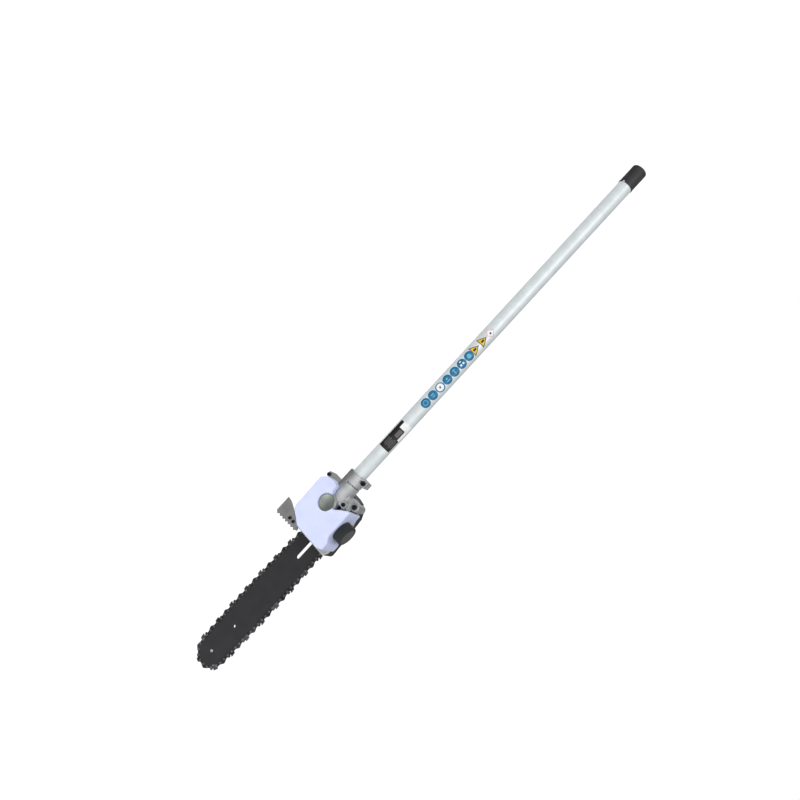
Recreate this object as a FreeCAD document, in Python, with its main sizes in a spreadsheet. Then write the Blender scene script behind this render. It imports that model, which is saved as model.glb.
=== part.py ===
import FreeCAD, Part
import math
import os
from types import SimpleNamespace
import Sketcher

# Pole saw attachment. Millimetres. +X runs along the tube from its open end to the bar's tip,
# +Z is the side of the oil filler, and the bar lies on the +Y side of the gear head.
# The origin is on the tube's axis at the insertion mark, where the powerhead coupler's mouth comes to.

Vector = FreeCAD.Vector
Placement = FreeCAD.Placement
Rotation = FreeCAD.Rotation

SIZES = {
    # tube, cap and shaft
    "tube_od": 26,
    "tube_wall": 1.5,
    "tube_end": 100,
    "tube_seat": 632,
    "mark_width": 1.2,
    "mark_depth": 0.3,
    "tube_cap_od": 28,
    "tube_cap_end": 102.2,
    "tube_cap_rim": 64.2,
    "tube_cap_chamfer": 1.8,
    "shaft_od": 8,
    "shaft_flat": 5.6,
    "bush_length": 18,
    # gear head, measured from the output axis
    "gear_x": 670,
    "clamp_od": 36,
    "clamp_length": 67,
    "clamp_slit": 1.6,
    "boss_od": 33,
    "case_od": 46,
    "case_bore": 41,
    "bearing_od": 22,
    "bearing_bore": 10,
    "bearing_width": 6,
    "lower_bearing_od": 26,
    "lower_bearing_width": 8,
    "cap_disc_od": 29.3,
    "base_top": 20,
    "base_thickness": 4,
    "case_top": -24,
    "clamp_screw_x": -63,
    "clamp_screw_z": 19.8,
    "locating_screw_x": -15,
    "locating_screw_z": 20,
    "case_screw_x": -25,
    "case_screw_z": 36.7,
    "lug_screw_x": -31.5,
    "lug_screw_z": -41,
    # bevel gears
    "bevel_module": 2,
    "pinion_teeth": 12,
    "gear_teeth": 18,
    "bevel_face": 6.5,
    "bevel_backlash": 0.36,
    # oil pump
    "worm_y": 35.5,
    "worm_pitch": 2.2,
    "worm_teeth": 12,
    "worm_outer": 7.7,
    "worm_root": 6,
    "pump_offset": 11.2,
    # bar and chain
    "bar_y": 46,
    "bar_thickness": 4,
    "bar_groove": 1.32,
    "bar_groove_depth": 5.6,
    "rail_below_rivets": 3.45,
    "bar_half_width": 30,
    "nose_distance": 342.8,
    "bar_tail": 31,
    "slot_end": 121,
    "slot_start": 42,
    "slot_width": 6.8,
    "stud_x": 54,
    "stud_od": 6,
    "tension_y": 39,
    "tension_z": 12.8,
    "tension_pin_x": 50,
    "tip_hole_x": 284,
    "chain_pitch": 9.525,
    "drive_links": 44,
    "drive_teeth": 7,
    "nose_teeth": 9,
    "link_gauge": 1.25,
    "strap_thickness": 1.1,
    "rivet_radius": 1.4,
    # tank and covers
    "tank_top": -30,
    "tank_wall": 2.4,
    "filler_x": 18,
    "filler_y": -5,
    "filler_seat": 44,
    "oil_cap_od": 37,
    "oil_cap_end": 62,
    "cover_bottom": 56,
    "cover_wall": 2.2,
    "bumper_y": 17,
    "bumper_thickness": 2.8,
    "bumper_screw_x": 75.5,
    "bumper_screw_outer": -50,
    "bumper_screw_inner": -40.4,
    # film on the tube, measured back from the output axis
    "film_thickness": 0.12,
    "film_turn": 21,
    "label_x": 158,
    "label_half_length": 28.6,
    "label_half_width": 12.9,
    "sticker_x": 233.7,
    "sticker_pitch": 17.95,
    "sticker_od": 18.5,
    "triangle_x": 357.4,
    "triangle_pitch": 19.4,
    "triangle_length": 16,
    "triangle_width": 19.2,
    "diamond_x": 393.8,
    "diamond_side": 17,
}

doc = FreeCAD.newDocument("pole_saw")
sheet = doc.addObject("Spreadsheet::Sheet", "Dims")
for row, (alias, value) in enumerate(SIZES.items(), start=1):
    sheet.set(f"A{row}", alias)
    sheet.set(f"B{row}", str(value))
    sheet.setAlias(f"B{row}", alias)
doc.recompute()


class Size:
    """A length that carries its number and the sheet formula that it comes from."""

    def __init__(self, value, text):
        self.value = value
        self.text = text

    def __add__(self, other):
        return Size(self.value + number(other), f"({self.text} + {formula(other)})")

    def __radd__(self, other):
        return self + other

    def __sub__(self, other):
        return Size(self.value - number(other), f"({self.text} - {formula(other)})")

    def __rsub__(self, other):
        return Size(number(other) - self.value, f"({formula(other)} - {self.text})")

    def __mul__(self, other):
        return Size(self.value * number(other), f"({self.text} * {formula(other)})")

    def __truediv__(self, other):
        return Size(self.value / number(other), f"({self.text} / {formula(other)})")

    def __neg__(self):
        return Size(-self.value, f"(0 - {self.text})")


def number(size):
    return size.value if isinstance(size, Size) else float(size)


def formula(size):
    return size.text if isinstance(size, Size) else f"({float(size)})"


dims = SimpleNamespace(**{alias: Size(float(sheet.get(alias)), f"Dims.{alias}") for alias in SIZES})
gear_x = dims.gear_x
case_bottom = dims.base_top + dims.base_thickness

TO_AXIS = {
    "x": Rotation(Vector(0, 1, 0), 90),
    "y": Rotation(Vector(1, 0, 0), -90),
    "z": Rotation(),
}


# ---------------------------------------------------------------- building blocks


def bind(thing, prop, size):
    """Set one size of an object, bound to the sheet when it comes from there."""
    if isinstance(size, Size):
        thing.setExpression(prop, size.text)
    else:
        setattr(thing, prop, float(size))


def place(thing, at, rotation=None):
    thing.Placement = Placement(Vector(*[number(size) for size in at]), rotation or Rotation())
    for letter, size in zip("xyz", at):
        if isinstance(size, Size):
            thing.setExpression(f"Placement.Base.{letter}", size.text)
    return thing


def rod(name, axis, radius, length, at):
    """A cylinder that starts at a point and runs along one axis."""
    cylinder = doc.addObject("Part::Cylinder", name)
    bind(cylinder, "Radius", radius)
    bind(cylinder, "Height", length)
    return place(cylinder, at, TO_AXIS[axis])


def block(name, x_range, y_range, z_range):
    box = doc.addObject("Part::Box", name)
    ranges = (x_range, y_range, z_range)
    for prop, (low, high) in zip(("Length", "Width", "Height"), ranges):
        bind(box, prop, high - low)
    return place(box, [low for low, _ in ranges])


def fuse(name, pieces):
    joined = doc.addObject("Part::MultiFuse", name)
    joined.Shapes = pieces
    joined.Refine = True
    return joined


def cut(name, base, tools):
    trimmed = doc.addObject("Part::Cut", name)
    trimmed.Base = base
    trimmed.Tool = tools[0] if len(tools) == 1 else fuse(name + "_tools", tools)
    trimmed.Refine = True
    return trimmed


def attach(sketch, body, role):
    plane = next(item for item in body.Origin.OriginFeatures if item.Role == role)
    sketch.AttachmentSupport = [(plane, "")]
    sketch.MapMode = "FlatFace"


def polygon(sketch, corners):
    """A closed outline whose corners are all held by their distances from the origin."""
    first = sketch.GeometryCount
    count = len(corners)
    points = [Vector(number(across), number(up), 0) for across, up in corners]
    for index in range(count):
        sketch.addGeometry(Part.LineSegment(points[index], points[(index + 1) % count]))
    for index in range(count):
        following = first + (index + 1) % count
        sketch.addConstraint(Sketcher.Constraint("Coincident", first + index, 2, following, 1))
    for index, corner in enumerate(corners):
        for kind, size in zip(("DistanceX", "DistanceY"), corner):
            rule = sketch.addConstraint(Sketcher.Constraint(kind, first + index, 1, number(size)))
            if isinstance(size, Size):
                sketch.setExpression(f"Constraints[{rule}]", size.text)


def turned(name, axis, profile, at=(0, 0, 0)):
    """A piece turned about one axis. The profile's corners are (distance along the axis, radius)."""
    body = doc.addObject("PartDesign::Body", name)
    sketch = body.newObject("Sketcher::SketchObject", name + "_profile")
    attach(sketch, body, "XZ_Plane" if axis == "z" else "XY_Plane")
    polygon(sketch, profile if axis == "x" else [(radius, along) for along, radius in profile])
    turn = body.newObject("PartDesign::Revolution", name + "_turn")
    turn.Profile = sketch
    turn.ReferenceAxis = (sketch, ["H_Axis" if axis == "x" else "V_Axis"])
    turn.Angle = 360
    body.Tip = turn
    return place(body, at)


def ring(name, axis, start, end, inner, outer, at=(0, 0, 0)):
    return turned(name, axis, [(start, inner), (end, inner), (end, outer), (start, outer)], at)


def plate(name, outline, y_range, at=(0, 0, 0), corner_radius=0):
    """A flat piece: an outline in X and Z, padded from the low to the high Y."""
    low, high = y_range
    body = doc.addObject("PartDesign::Body", name)
    sketch = body.newObject("Sketcher::SketchObject", name + "_outline")
    attach(sketch, body, "XZ_Plane")
    polygon(sketch, outline)
    if isinstance(high, Size):
        sketch.setExpression("AttachmentOffset.Base.z", (-high).text)
    else:
        sketch.AttachmentOffset = Placement(Vector(0, 0, -high), Rotation())
    pad = body.newObject("PartDesign::Pad", name + "_pad")
    pad.Profile = sketch
    bind(pad, "Length", high - low)
    body.Tip = pad
    place(body, at)
    if corner_radius:
        doc.recompute()
        rounded = body.newObject("PartDesign::Fillet", name + "_corners")
        rounded.Base = (pad, edges_along_y(pad.Shape))
        rounded.Radius = corner_radius
        body.Tip = rounded
    return body


def edges_along_y(shape):
    names = []
    for index, edge in enumerate(shape.Edges, start=1):
        direction = edge.Vertexes[-1].Point - edge.Vertexes[0].Point
        if abs(direction.x) + abs(direction.z) < 1e-6 < abs(direction.y):
            names.append(f"Edge{index}")
    return names


def shaped(name, shape):
    """A piece whose form only code can make."""
    feature = doc.addObject("Part::Feature", name)
    feature.Shape = shape
    return feature


def copies(name, pattern, places):
    """One node that holds a solid for each place of a repeated piece."""
    doc.recompute()
    solids = [solid.copy() for solid in pattern.Shape.Solids]
    moved = []
    for placement in places:
        moved += [solid.transformed(placement.toMatrix(), True) for solid in solids]
    return shaped(name, Part.makeCompound(moved))


def screw(name, head_radius, head_height, shank_radius, shank_length, socket_radius, axis="y"):
    """A socket-head screw at the origin: its head below zero, its shank along the plus axis."""
    depth = head_height * 0.55
    profile = [
        (-head_height + depth, 0),
        (shank_length, 0),
        (shank_length, shank_radius),
        (0, shank_radius),
        (0, head_radius),
        (-head_height + 0.5, head_radius),
        (-head_height, head_radius - 0.5),
        (-head_height, socket_radius),
        (-head_height + depth, socket_radius),
    ]
    return turned(name, axis, profile)


nodes = []


def keep(name, thing):
    """Name a finished piece, which is then written to a file of that name."""
    thing.Label = name
    nodes.append(thing)
    return thing


# ---------------------------------------------------------------- tube, cap and drive shaft

tube_radius = dims.tube_od / 2
tube_inner = tube_radius - dims.tube_wall
groove_radius = tube_radius - dims.mark_depth


def drive_tube():
    """The tube, with two fine rings turned in it: under the cap's rim, and at the insertion mark."""
    rim = -dims.tube_cap_rim
    profile = [
        (-dims.tube_end, tube_inner),
        (dims.tube_seat, tube_inner),
        (dims.tube_seat, tube_radius),
        (dims.mark_width, tube_radius),
        (dims.mark_width, groove_radius),
        (0, groove_radius),
        (0, tube_radius),
        (rim, tube_radius),
        (rim, groove_radius),
        (rim - dims.mark_width, groove_radius),
        (rim - dims.mark_width, tube_radius),
        (-dims.tube_end, tube_radius),
    ]
    return turned("tube", "x", profile)


def tube_cap():
    """The push-on cap. Its little window shows the bright tube behind it."""
    inner = tube_radius + 0.05
    outer = dims.tube_cap_od / 2
    chamfer = dims.tube_cap_chamfer
    end = -dims.tube_cap_end
    profile = [
        (-dims.tube_end - 0.2, 0),
        (-dims.tube_end - 0.2, inner),
        (-dims.tube_cap_rim, inner),
        (-dims.tube_cap_rim, outer),
        (end + chamfer, outer),
        (end, outer - chamfer),
        (end, 0),
    ]
    window = rod("cap_window", "z", 1.6, 20, (-dims.tube_cap_rim - 5, 0, 0))
    window.Placement.Rotation = Rotation(Vector(1, 0, 0), 122)
    return cut("tube_cap_body", turned("tube_cap_shell", "x", profile), [window])


def drive_shaft():
    """A round shaft with a square milled at each end for the couplers."""
    radius = dims.shaft_od / 2
    half = dims.shaft_flat / 2
    start, end = -dims.tube_end + 6, gear_x - 24
    middle = rod("shaft_round", "x", radius, end - start - 36, (start + 18, 0, 0))
    square = block("shaft_square", (start, end), (-half, half), (-half, half))
    return fuse("shaft_body", [middle, square])


keep("drive_tube", drive_tube())
keep("tube_end_cap", tube_cap())
keep("drive_shaft", drive_shaft())
bush = ring("bush", "x", 0, dims.bush_length, dims.shaft_od / 2 + 0.1, tube_inner)
bush_places = [Placement(Vector(x, 0, 0), Rotation()) for x in (-60, 110, 280, 450, 600)]
keep("shaft_bushes", copies("bushes", bush, bush_places))

# ---------------------------------------------------------------- bevel gears


def bevel_wheel(teeth, mate_teeth, hub_profile):
    """A straight bevel wheel about +Z with its cones' apex at the origin, one tooth centred on +X."""
    module = dims.bevel_module.value
    pitch_radius = module * teeth / 2
    cone = math.atan2(teeth, mate_teeth)
    cone_length = pitch_radius / math.sin(cone)
    shrink = 1 - dims.bevel_face.value / cone_length
    back_radius = pitch_radius / math.cos(cone)
    back_apex = Vector(0, 0, cone_length / math.cos(cone))
    outward = Vector(math.cos(cone), 0, -math.sin(cone))
    pressure = math.radians(20)
    base_radius = back_radius * math.cos(pressure)
    half_tooth = (math.pi * module / 4 - dims.bevel_backlash.value / 4) / back_radius
    involute_pitch = math.tan(pressure) - pressure

    def half_angle(radius):
        angle = math.acos(min(1, base_radius / radius))
        return half_tooth + involute_pitch - (math.tan(angle) - angle)

    def corner(radius, side):
        angle = side * half_angle(max(radius, base_radius))
        along = outward * (radius * math.cos(angle))
        return back_apex + along + Vector(0, radius * math.sin(angle), 0)

    root = back_radius - 1.25 * module
    radii = [root - 0.3 * module, base_radius, back_radius, back_radius + 0.45 * module]
    radii = sorted(radii) + [back_radius + 0.85 * module]
    rise = [corner(radius, -1) for radius in radii]
    fall = [corner(radius, 1) for radius in reversed(radii)]
    outer_end = rise + fall
    inner_end = [point * shrink for point in outer_end]
    wires = [Part.makePolygon(points + points[:1]) for points in (outer_end, inner_end)]
    tooth = Part.makeLoft(wires, True, True)
    turns = [Rotation(Vector(0, 0, 1), 360 * index / teeth) for index in range(teeth)]
    around = [tooth.transformed(Placement(Vector(), turn).toMatrix(), True) for turn in turns]
    rim = Vector(root * math.cos(cone), 0, back_apex.z - root * math.sin(cone))
    profile = [rim * shrink, rim] + [Vector(radius, 0, along) for along, radius in hub_profile]
    blank = Part.Face(Part.makePolygon(profile + profile[:1])).revolve(
        Vector(), Vector(0, 0, 1), 360
    )
    return blank.fuse(around).removeSplitter()


def bevel_pinion():
    """The pinion on the drive shaft's end, hollow behind for the shaft's square."""
    bore = dims.bearing_bore.value / 2
    hub = [(19.5, 9.6), (22, 9.6), (22, bore), (38.5, bore), (38.5, 0), (11.5, 0), (11.5, 4)]
    wheel = bevel_wheel(int(dims.pinion_teeth.value), int(dims.gear_teeth.value), hub)
    half = dims.shaft_flat.value / 2
    socket = Part.makeBox(2 * half, 2 * half, 15, Vector(-half, -half, 24))
    wheel = wheel.cut(socket)
    to_tube = Rotation(Vector(0, 0, 1), Vector(-1, 0, 0))
    level = to_tube.inverted().multVec(Vector(0, 1, 0))
    first = Rotation(Vector(0, 0, 1), math.degrees(math.atan2(level.y, level.x)))
    pinion = shaped("pinion", wheel)
    return place(pinion, (gear_x, 0, 0), to_tube.multiply(first))


def bevel_gear():
    """The larger wheel on the output shaft, a gap of its teeth facing the pinion."""
    bore = dims.bearing_bore.value / 2
    hub = [(17, 14), (17, 8), (20, 8), (20, bore), (6.5, bore), (6.5, 8.5)]
    teeth = int(dims.gear_teeth.value)
    wheel = bevel_wheel(teeth, int(dims.pinion_teeth.value), hub)
    to_bar = Rotation(Vector(0, 0, 1), Vector(0, 1, 0))
    level = to_bar.inverted().multVec(Vector(-1, 0, 0))
    facing = math.degrees(math.atan2(level.y, level.x)) + 180 / teeth
    gear = shaped("gear", wheel)
    return place(gear, (gear_x, 0, 0), to_bar.multiply(Rotation(Vector(0, 0, 1), facing)))


keep("bevel_pinion", bevel_pinion())
keep("bevel_gear", bevel_gear())

# ---------------------------------------------------------------- gear case

pinion_seat = gear_x - 36
bearing_radius = dims.bearing_od / 2


def base_outline():
    """The casting's flat base, seen from the filler's face; it carries tank, bar, cover and bumper."""
    return [
        (-36.5, -19),
        (-36.5, -45),
        (40, -45),
        (58, -54),
        (80, -54),
        (80, -35),
        (77, -31),
        (77, 40),
        (68, 46),
        (4, 46),
        (-10, 42),
        (-24, 32),
        (-29, 20),
        (-29, -12),
    ]


clamp_screw_x = gear_x + dims.clamp_screw_x
locating_x = gear_x + dims.locating_screw_x
case_screw_x = gear_x + dims.case_screw_x
lug_screw_x = gear_x + dims.lug_screw_x
bumper_screw_x = gear_x + dims.bumper_screw_x


def gear_case():
    """One casting: split clamp, gear chamber, bearing boss, base plate, bar seat and lugs."""
    clamp_start = gear_x - dims.clamp_length
    solids = [
        rod("clamp_sleeve", "x", dims.clamp_od / 2, dims.clamp_length - 10, (clamp_start, 0, 0)),
        rod("chamber", "y", dims.case_od / 2, case_bottom + 8, (gear_x, -8, 0)),
        rod("boss", "y", dims.boss_od / 2, -dims.case_top, (gear_x, dims.case_top, 0)),
        plate("base_plate", base_outline(), (dims.base_top, case_bottom), (gear_x, 0, 0), 4),
        block("bar_seat", (gear_x + 38, gear_x + 74), (case_bottom - 1, 43.9), (-12, 18.5)),
        block("clamp_ear", (clamp_screw_x - 6, clamp_screw_x + 6), (-10, 10), (6, 25.5)),
        block("clamp_ear_near", (locating_x - 7, locating_x + 6), (-13, 10), (6, 26)),
        rod("case_lug", "y", 7.5, case_bottom + 8, (case_screw_x, -9, dims.case_screw_z)),
        block("lug_web", (case_screw_x - 6, gear_x - 11), (-8, dims.base_top + 1), (16, 34)),
        block("rear_lug", (gear_x - 36.5, gear_x - 28), (-4, case_bottom), (-45, -19)),
    ]
    slit = dims.clamp_slit / 2
    hollows = [
        rod("tube_bore", "x", tube_radius + 0.02, dims.tube_seat - clamp_start + 5, (clamp_start - 5, 0, 0)),
        rod("ring_room", "x", bearing_radius - 1.5, 6, (dims.tube_seat - 1, 0, 0)),
        rod("pinion_bore", "x", bearing_radius, 14, (pinion_seat, 0, 0)),
        rod("pinion_room", "x", 15.6, 18, (gear_x - 22, 0, 0)),
        rod("gear_room", "y", dims.case_bore / 2, case_bottom + 13, (gear_x, -12.5, 0)),
        rod("upper_seat", "y", bearing_radius, 10, (gear_x, -20, 0)),
        rod("cap_seat", "y", dims.cap_disc_od / 2, 4, (gear_x, dims.case_top - 2, 0)),
        rod("cap_room", "y", bearing_radius - 1, 5, (gear_x, -23, 0)),
        block("slit", (gear_x - 75, gear_x - 40), (-slit, slit), (5, 30)),
        block("cross_slit", (gear_x - 49, gear_x - 47), (-20, 20), (-3, 30)),
        rod("ear_hole", "y", 2.6, 30, (clamp_screw_x, -15, dims.clamp_screw_z)),
        rod("near_hole", "y", 1.9, 24, (locating_x, -14, dims.locating_screw_z)),
        rod("lug_hole", "y", 2.6, 30, (case_screw_x, -10, dims.case_screw_z)),
        rod("rear_hole", "y", 2.1, 30, (lug_screw_x, -5, dims.lug_screw_z)),
        rod("stud_hole", "y", dims.stud_od / 2, 12, (gear_x + dims.stud_x, 32, 0)),
        block("block_channel", (gear_x + 41, gear_x + 68), (34, 45), (8, 17.6)),
        rod("tension_hole", "x", 2.6, 44, (gear_x + 36, dims.tension_y, dims.tension_z)),
        rod("bumper_hole_outer", "y", 1.6, 8, (bumper_screw_x, 18, dims.bumper_screw_outer)),
        rod("bumper_hole_inner", "y", 1.6, 8, (bumper_screw_x, 18, dims.bumper_screw_inner)),
    ]
    return cut("case_body", fuse("case_solid", solids), hollows)


def bearing_carrier():
    """The turned plate that closes the gear chamber and holds the lower bearing."""
    seat = dims.lower_bearing_od / 2
    profile = [
        (20.3, 9.5),
        (20.3, dims.case_bore / 2),
        (case_bottom, dims.case_bore / 2),
        (case_bottom, 16),
        (30, 16),
        (30, seat),
        (21.6, seat),
        (21.6, 9.5),
    ]
    return turned("carrier", "y", profile, (gear_x, 0, 0))


def ball_bearing(name, axis, start, width, bore, outer, at):
    """Two races with a ring of balls between them, joined by their cage."""
    wall = (outer - bore) * 0.3
    inner = ring(name + "_inner", axis, start, start + width, bore, bore + wall, at)
    outer_race = ring(name + "_outer", axis, start, start + width, outer - wall, outer, at)
    cage = ring(name + "_cage", axis, start + 1, start + width - 1, bore + wall, outer - wall, at)
    return fuse(name, [inner, outer_race, cage])


half_bore = dims.bearing_bore / 2 + 0.03
keep("gear_case", gear_case())
keep("bearing_carrier", bearing_carrier())
pinion_pair = [
    ball_bearing(name, "x", start, dims.bearing_width, half_bore, bearing_radius, (pinion_seat, 0, 0))
    for name, start in (("rear_bearing", 1), ("front_bearing", 7.5))
]
keep("pinion_bearings", fuse("pinion_bearing_pair", pinion_pair))
snap_ring = ring("snap_ring", "x", 0, 0.9, bearing_radius - 2, bearing_radius, (pinion_seat, 0, 0))
keep("pinion_snap_ring", snap_ring)
upper = ball_bearing("upper", "y", -20, dims.bearing_width, half_bore, bearing_radius, (gear_x, 0, 0))
keep("output_bearing_upper", upper)
lower = ball_bearing(
    "lower", "y", 21.7, dims.lower_bearing_width, half_bore, dims.lower_bearing_od / 2, (gear_x, 0, 0)
)
keep("output_bearing_lower", lower)
disc_radius = dims.cap_disc_od / 2
disc_profile = [
    (-24.9, 0),
    (-22.1, 0),
    (-22.1, disc_radius),
    (-24.4, disc_radius),
    (-24.9, disc_radius - 0.7),
]
keep("bearing_cap", turned("cap_disc", "y", disc_profile, (gear_x, 0, 0)))

# ---------------------------------------------------------------- output shaft, worm and pump


def output_shaft():
    """The shaft from the upper bearing through gear, worm and sprocket to the retaining clip."""
    bore = dims.bearing_bore / 2
    profile = [
        (-20.5, 0),
        (53.2, 0),
        (53.2, 4),
        (52.2, 4),
        (52.2, 3.2),
        (51.2, 3.2),
        (51.2, bore),
        (-20.5, bore),
    ]
    return turned("output", "y", profile, (gear_x, 0, 0))


def pump_worm():
    """A one-start worm: a helical thread on a sleeve, its crest facing the pump's plunger."""
    pitch = dims.worm_pitch.value
    root, outer = dims.worm_root.value, dims.worm_outer.value
    turns = 2.6
    length = pitch * turns
    foot, crest = 0.62, 0.26
    helix = Part.makeHelix(pitch, length, root)
    section = Part.makePolygon(
        [
            Vector(root - 0.2, 0, -foot),
            Vector(outer, 0, -crest),
            Vector(outer, 0, crest),
            Vector(root - 0.2, 0, foot),
            Vector(root - 0.2, 0, -foot),
        ]
    )
    thread = Part.Wire(helix.Edges).makePipeShell([section], True, True)
    sleeve_length = length + 2.4
    sleeve = Part.makeCylinder(root, sleeve_length, Vector(0, 0, -1.2))
    bore = Part.makeCylinder(dims.bearing_bore.value / 2, sleeve_length, Vector(0, 0, -1.2))
    worm = shaped("worm", sleeve.fuse(thread).cut(bore).removeSplitter())
    # the helix starts on local +X, which is turned so that after whole turns a crest faces -Z
    upright = Rotation(Vector(0, 0, 1), Vector(0, 1, 0))
    toward = upright.inverted().multVec(Vector(0, 0, -1))
    facing = math.degrees(math.atan2(toward.y, toward.x))
    turn = upright.multiply(Rotation(Vector(0, 0, 1), facing))
    return place(worm, (gear_x, dims.worm_y - dims.worm_pitch, 0), turn)


def pump_plunger():
    """The plunger: a rod with a small straight-toothed wheel that the worm turns."""
    teeth = int(dims.worm_teeth.value)
    pitch_radius = dims.worm_pitch.value * teeth / (2 * math.pi)
    root = dims.pump_offset.value - dims.worm_outer.value - 0.3
    tip = dims.pump_offset.value - dims.worm_root.value - 0.3
    half_width = 2.6
    wheel = Part.makeCylinder(root, 2 * half_width, Vector(0, 0, -half_width))
    for index in range(teeth):
        # the first gap between teeth faces the worm
        middle = math.radians(360 * (index + 0.5) / teeth)
        outline = []
        for radius, half in ((root - 0.2, 0.62), (pitch_radius, 0.42), (tip, 0.2)):
            outline.append((radius, half))
        corners = [(radius, -half) for radius, half in outline]
        corners += [(radius, half) for radius, half in reversed(outline)]
        points = [
            Vector(
                radius * math.cos(middle) - side * math.sin(middle),
                radius * math.sin(middle) + side * math.cos(middle),
                -half_width,
            )
            for radius, side in corners
        ]
        face = Part.Face(Part.makePolygon(points + points[:1]))
        wheel = wheel.fuse(face.extrude(Vector(0, 0, 2 * half_width)))
    rod_shape = Part.makeCylinder(3, 27, Vector(0, 0, -6))
    plunger = shaped("plunger", wheel.fuse(rod_shape).removeSplitter())
    along = Rotation(Vector(0, 0, 1), Vector(1, 0, 0))
    toward = along.inverted().multVec(Vector(0, 0, 1))
    facing = math.degrees(math.atan2(toward.y, toward.x))
    turn = along.multiply(Rotation(Vector(0, 0, 1), facing))
    return place(plunger, (gear_x, dims.worm_y, -dims.pump_offset), turn)


def pump_body():
    """The pump block beside the worm, bored for the plunger and footed on the base."""
    offset = -dims.pump_offset
    barrel = block("pump_barrel", (gear_x + 8, gear_x + 27), (30.4, 40.4), (offset - 5.5, offset + 5.5))
    foot = block("pump_foot", (gear_x + 24, gear_x + 35), (case_bottom, 36), (offset - 5.5, offset + 5.5))
    bore = rod("pump_bore", "x", 3.06, 20, (gear_x + 5, dims.worm_y, offset))
    return cut("pump_block", fuse("pump_solid", [barrel, foot]), [bore])


keep("output_shaft", output_shaft())
keep("pump_worm", pump_worm())
keep("pump_plunger", pump_plunger())
keep("pump_body", pump_body())

# ---------------------------------------------------------------- chain path

chain_pitch = dims.chain_pitch.value
drive_radius = chain_pitch * 2 * dims.drive_teeth.value / (2 * math.pi)
nose_radius = chain_pitch * 2 * dims.nose_teeth.value / (2 * math.pi)
nose_x = dims.nose_distance.value
bar_y = dims.bar_y.value


def on_circle(centre_x, radius, degrees):
    angle = math.radians(degrees)
    return Vector(centre_x + radius * math.cos(angle), 0, radius * math.sin(angle))


def path_edges(inset):
    """Four arcs round sprocket and nose, set in from the rivets' line; they start at the sprocket's top."""
    lean_tail, lean_nose = 4.5, 2.6
    tail, nose = drive_radius - inset, nose_radius - inset
    middle = Vector(nose_x * 0.55, 0, dims.bar_half_width.value - inset)
    tail_top = on_circle(0, tail, 90 + lean_tail)
    nose_top = on_circle(nose_x, nose, 90 - lean_nose)
    down = [Vector(point.x, 0, -point.z) for point in (nose_top, middle, tail_top)]
    return [
        Part.Arc(tail_top, middle, nose_top).toShape(),
        Part.Arc(nose_top, on_circle(nose_x, nose, 0), down[0]).toShape(),
        Part.Arc(*down).toShape(),
        Part.Arc(down[2], on_circle(0, tail, 180), tail_top).toShape(),
    ]


rivet_path = path_edges(0)
path_length = sum(edge.Length for edge in rivet_path)
rivet_count = 2 * int(dims.drive_links.value)
rivet_step = path_length / rivet_count


def point_on_path(distance):
    """The point at a distance along the rivets' line, whichever way each arc's own sense runs."""
    distance %= path_length
    for index, edge in enumerate(rivet_path):
        if distance <= edge.Length:
            break
        distance -= edge.Length
    start = rivet_path[index - 1].Vertexes
    joint = min(edge.Vertexes, key=lambda end: min(end.Point.distanceToPoint(v.Point) for v in start))
    forward = edge.valueAt(edge.FirstParameter).distanceToPoint(joint.Point) < 1e-4
    length = distance if forward else edge.Length - distance
    return edge.valueAt(edge.getParameterByLength(length))


# half a link's offset sets a drive link's tang square in the sprocket's rearmost slot
rear_distance = sum(edge.Length for edge in rivet_path[:3]) + rivet_path[3].Length / 2
chain_start = (rear_distance - rivet_step / 2) % (2 * rivet_step)
rivets = [point_on_path(chain_start + index * rivet_step) for index in range(rivet_count)]


def link_places(indexes):
    """Placements at the middle of a link: local X towards the next rivet, local Y out of the loop."""
    places = []
    for index in indexes:
        here, following = rivets[index], rivets[(index + 1) % rivet_count]
        middle = (here + following) / 2
        along = (following - here).normalize()
        out = Vector(-along.z, 0, along.x)
        across = along.cross(out)
        matrix = FreeCAD.Matrix(
            along.x, out.x, across.x, middle.x + gear_x.value,
            along.y, out.y, across.y, bar_y,
            along.z, out.z, across.z, middle.z,
            0, 0, 0, 1,
        )  # fmt: skip
        places.append(Placement(matrix))
    return places


def flat_link(corners, low, high):
    """A flat link with its two rivet holes, from an outline of corners about its middle."""
    points = [Vector(across, up, low) for across, up in corners]
    solid = Part.Face(Part.makePolygon(points + points[:1])).extrude(Vector(0, 0, high - low))
    for side in (-1, 1):
        centre = Vector(side * rivet_step / 2, 0, low - 1)
        solid = solid.cut(Part.makeCylinder(dims.rivet_radius.value + 0.12, high - low + 2, centre))
    return solid


def rounded_ends(radius, reach):
    """The corners of a strap's outline: two half-round ends joined by straight sides."""
    corners = []
    for side in (1, -1):
        for degrees in range(-90, 91, 18):
            angle = math.radians(degrees)
            corners.append((side * (reach + radius * math.cos(angle)), side * radius * math.sin(angle)))
    return corners


half_gauge = dims.link_gauge.value / 2
strap = dims.strap_thickness.value
reach = rivet_step / 2
inner_face = half_gauge + 0.02
outer_face = inner_face + strap
strap_outline = rounded_ends(2.9, reach - 0.4)


def drive_link():
    """A drive link: a plate on two rivets with a hooked tang that runs in the bar's groove."""
    corners = [
        (-reach - 2.3, -1.6),
        (-reach - 1.4, 2.1),
        (reach + 1.4, 2.1),
        (reach + 2.3, -1.6),
        (reach - 0.2, -3.2),
        (1.6, -6.9),
        (0.2, -7.7),
        (-1.4, -7.2),
        (-2.6, -4.2),
        (-reach + 0.2, -3.2),
    ]
    return flat_link(corners, -half_gauge, half_gauge)


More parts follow.
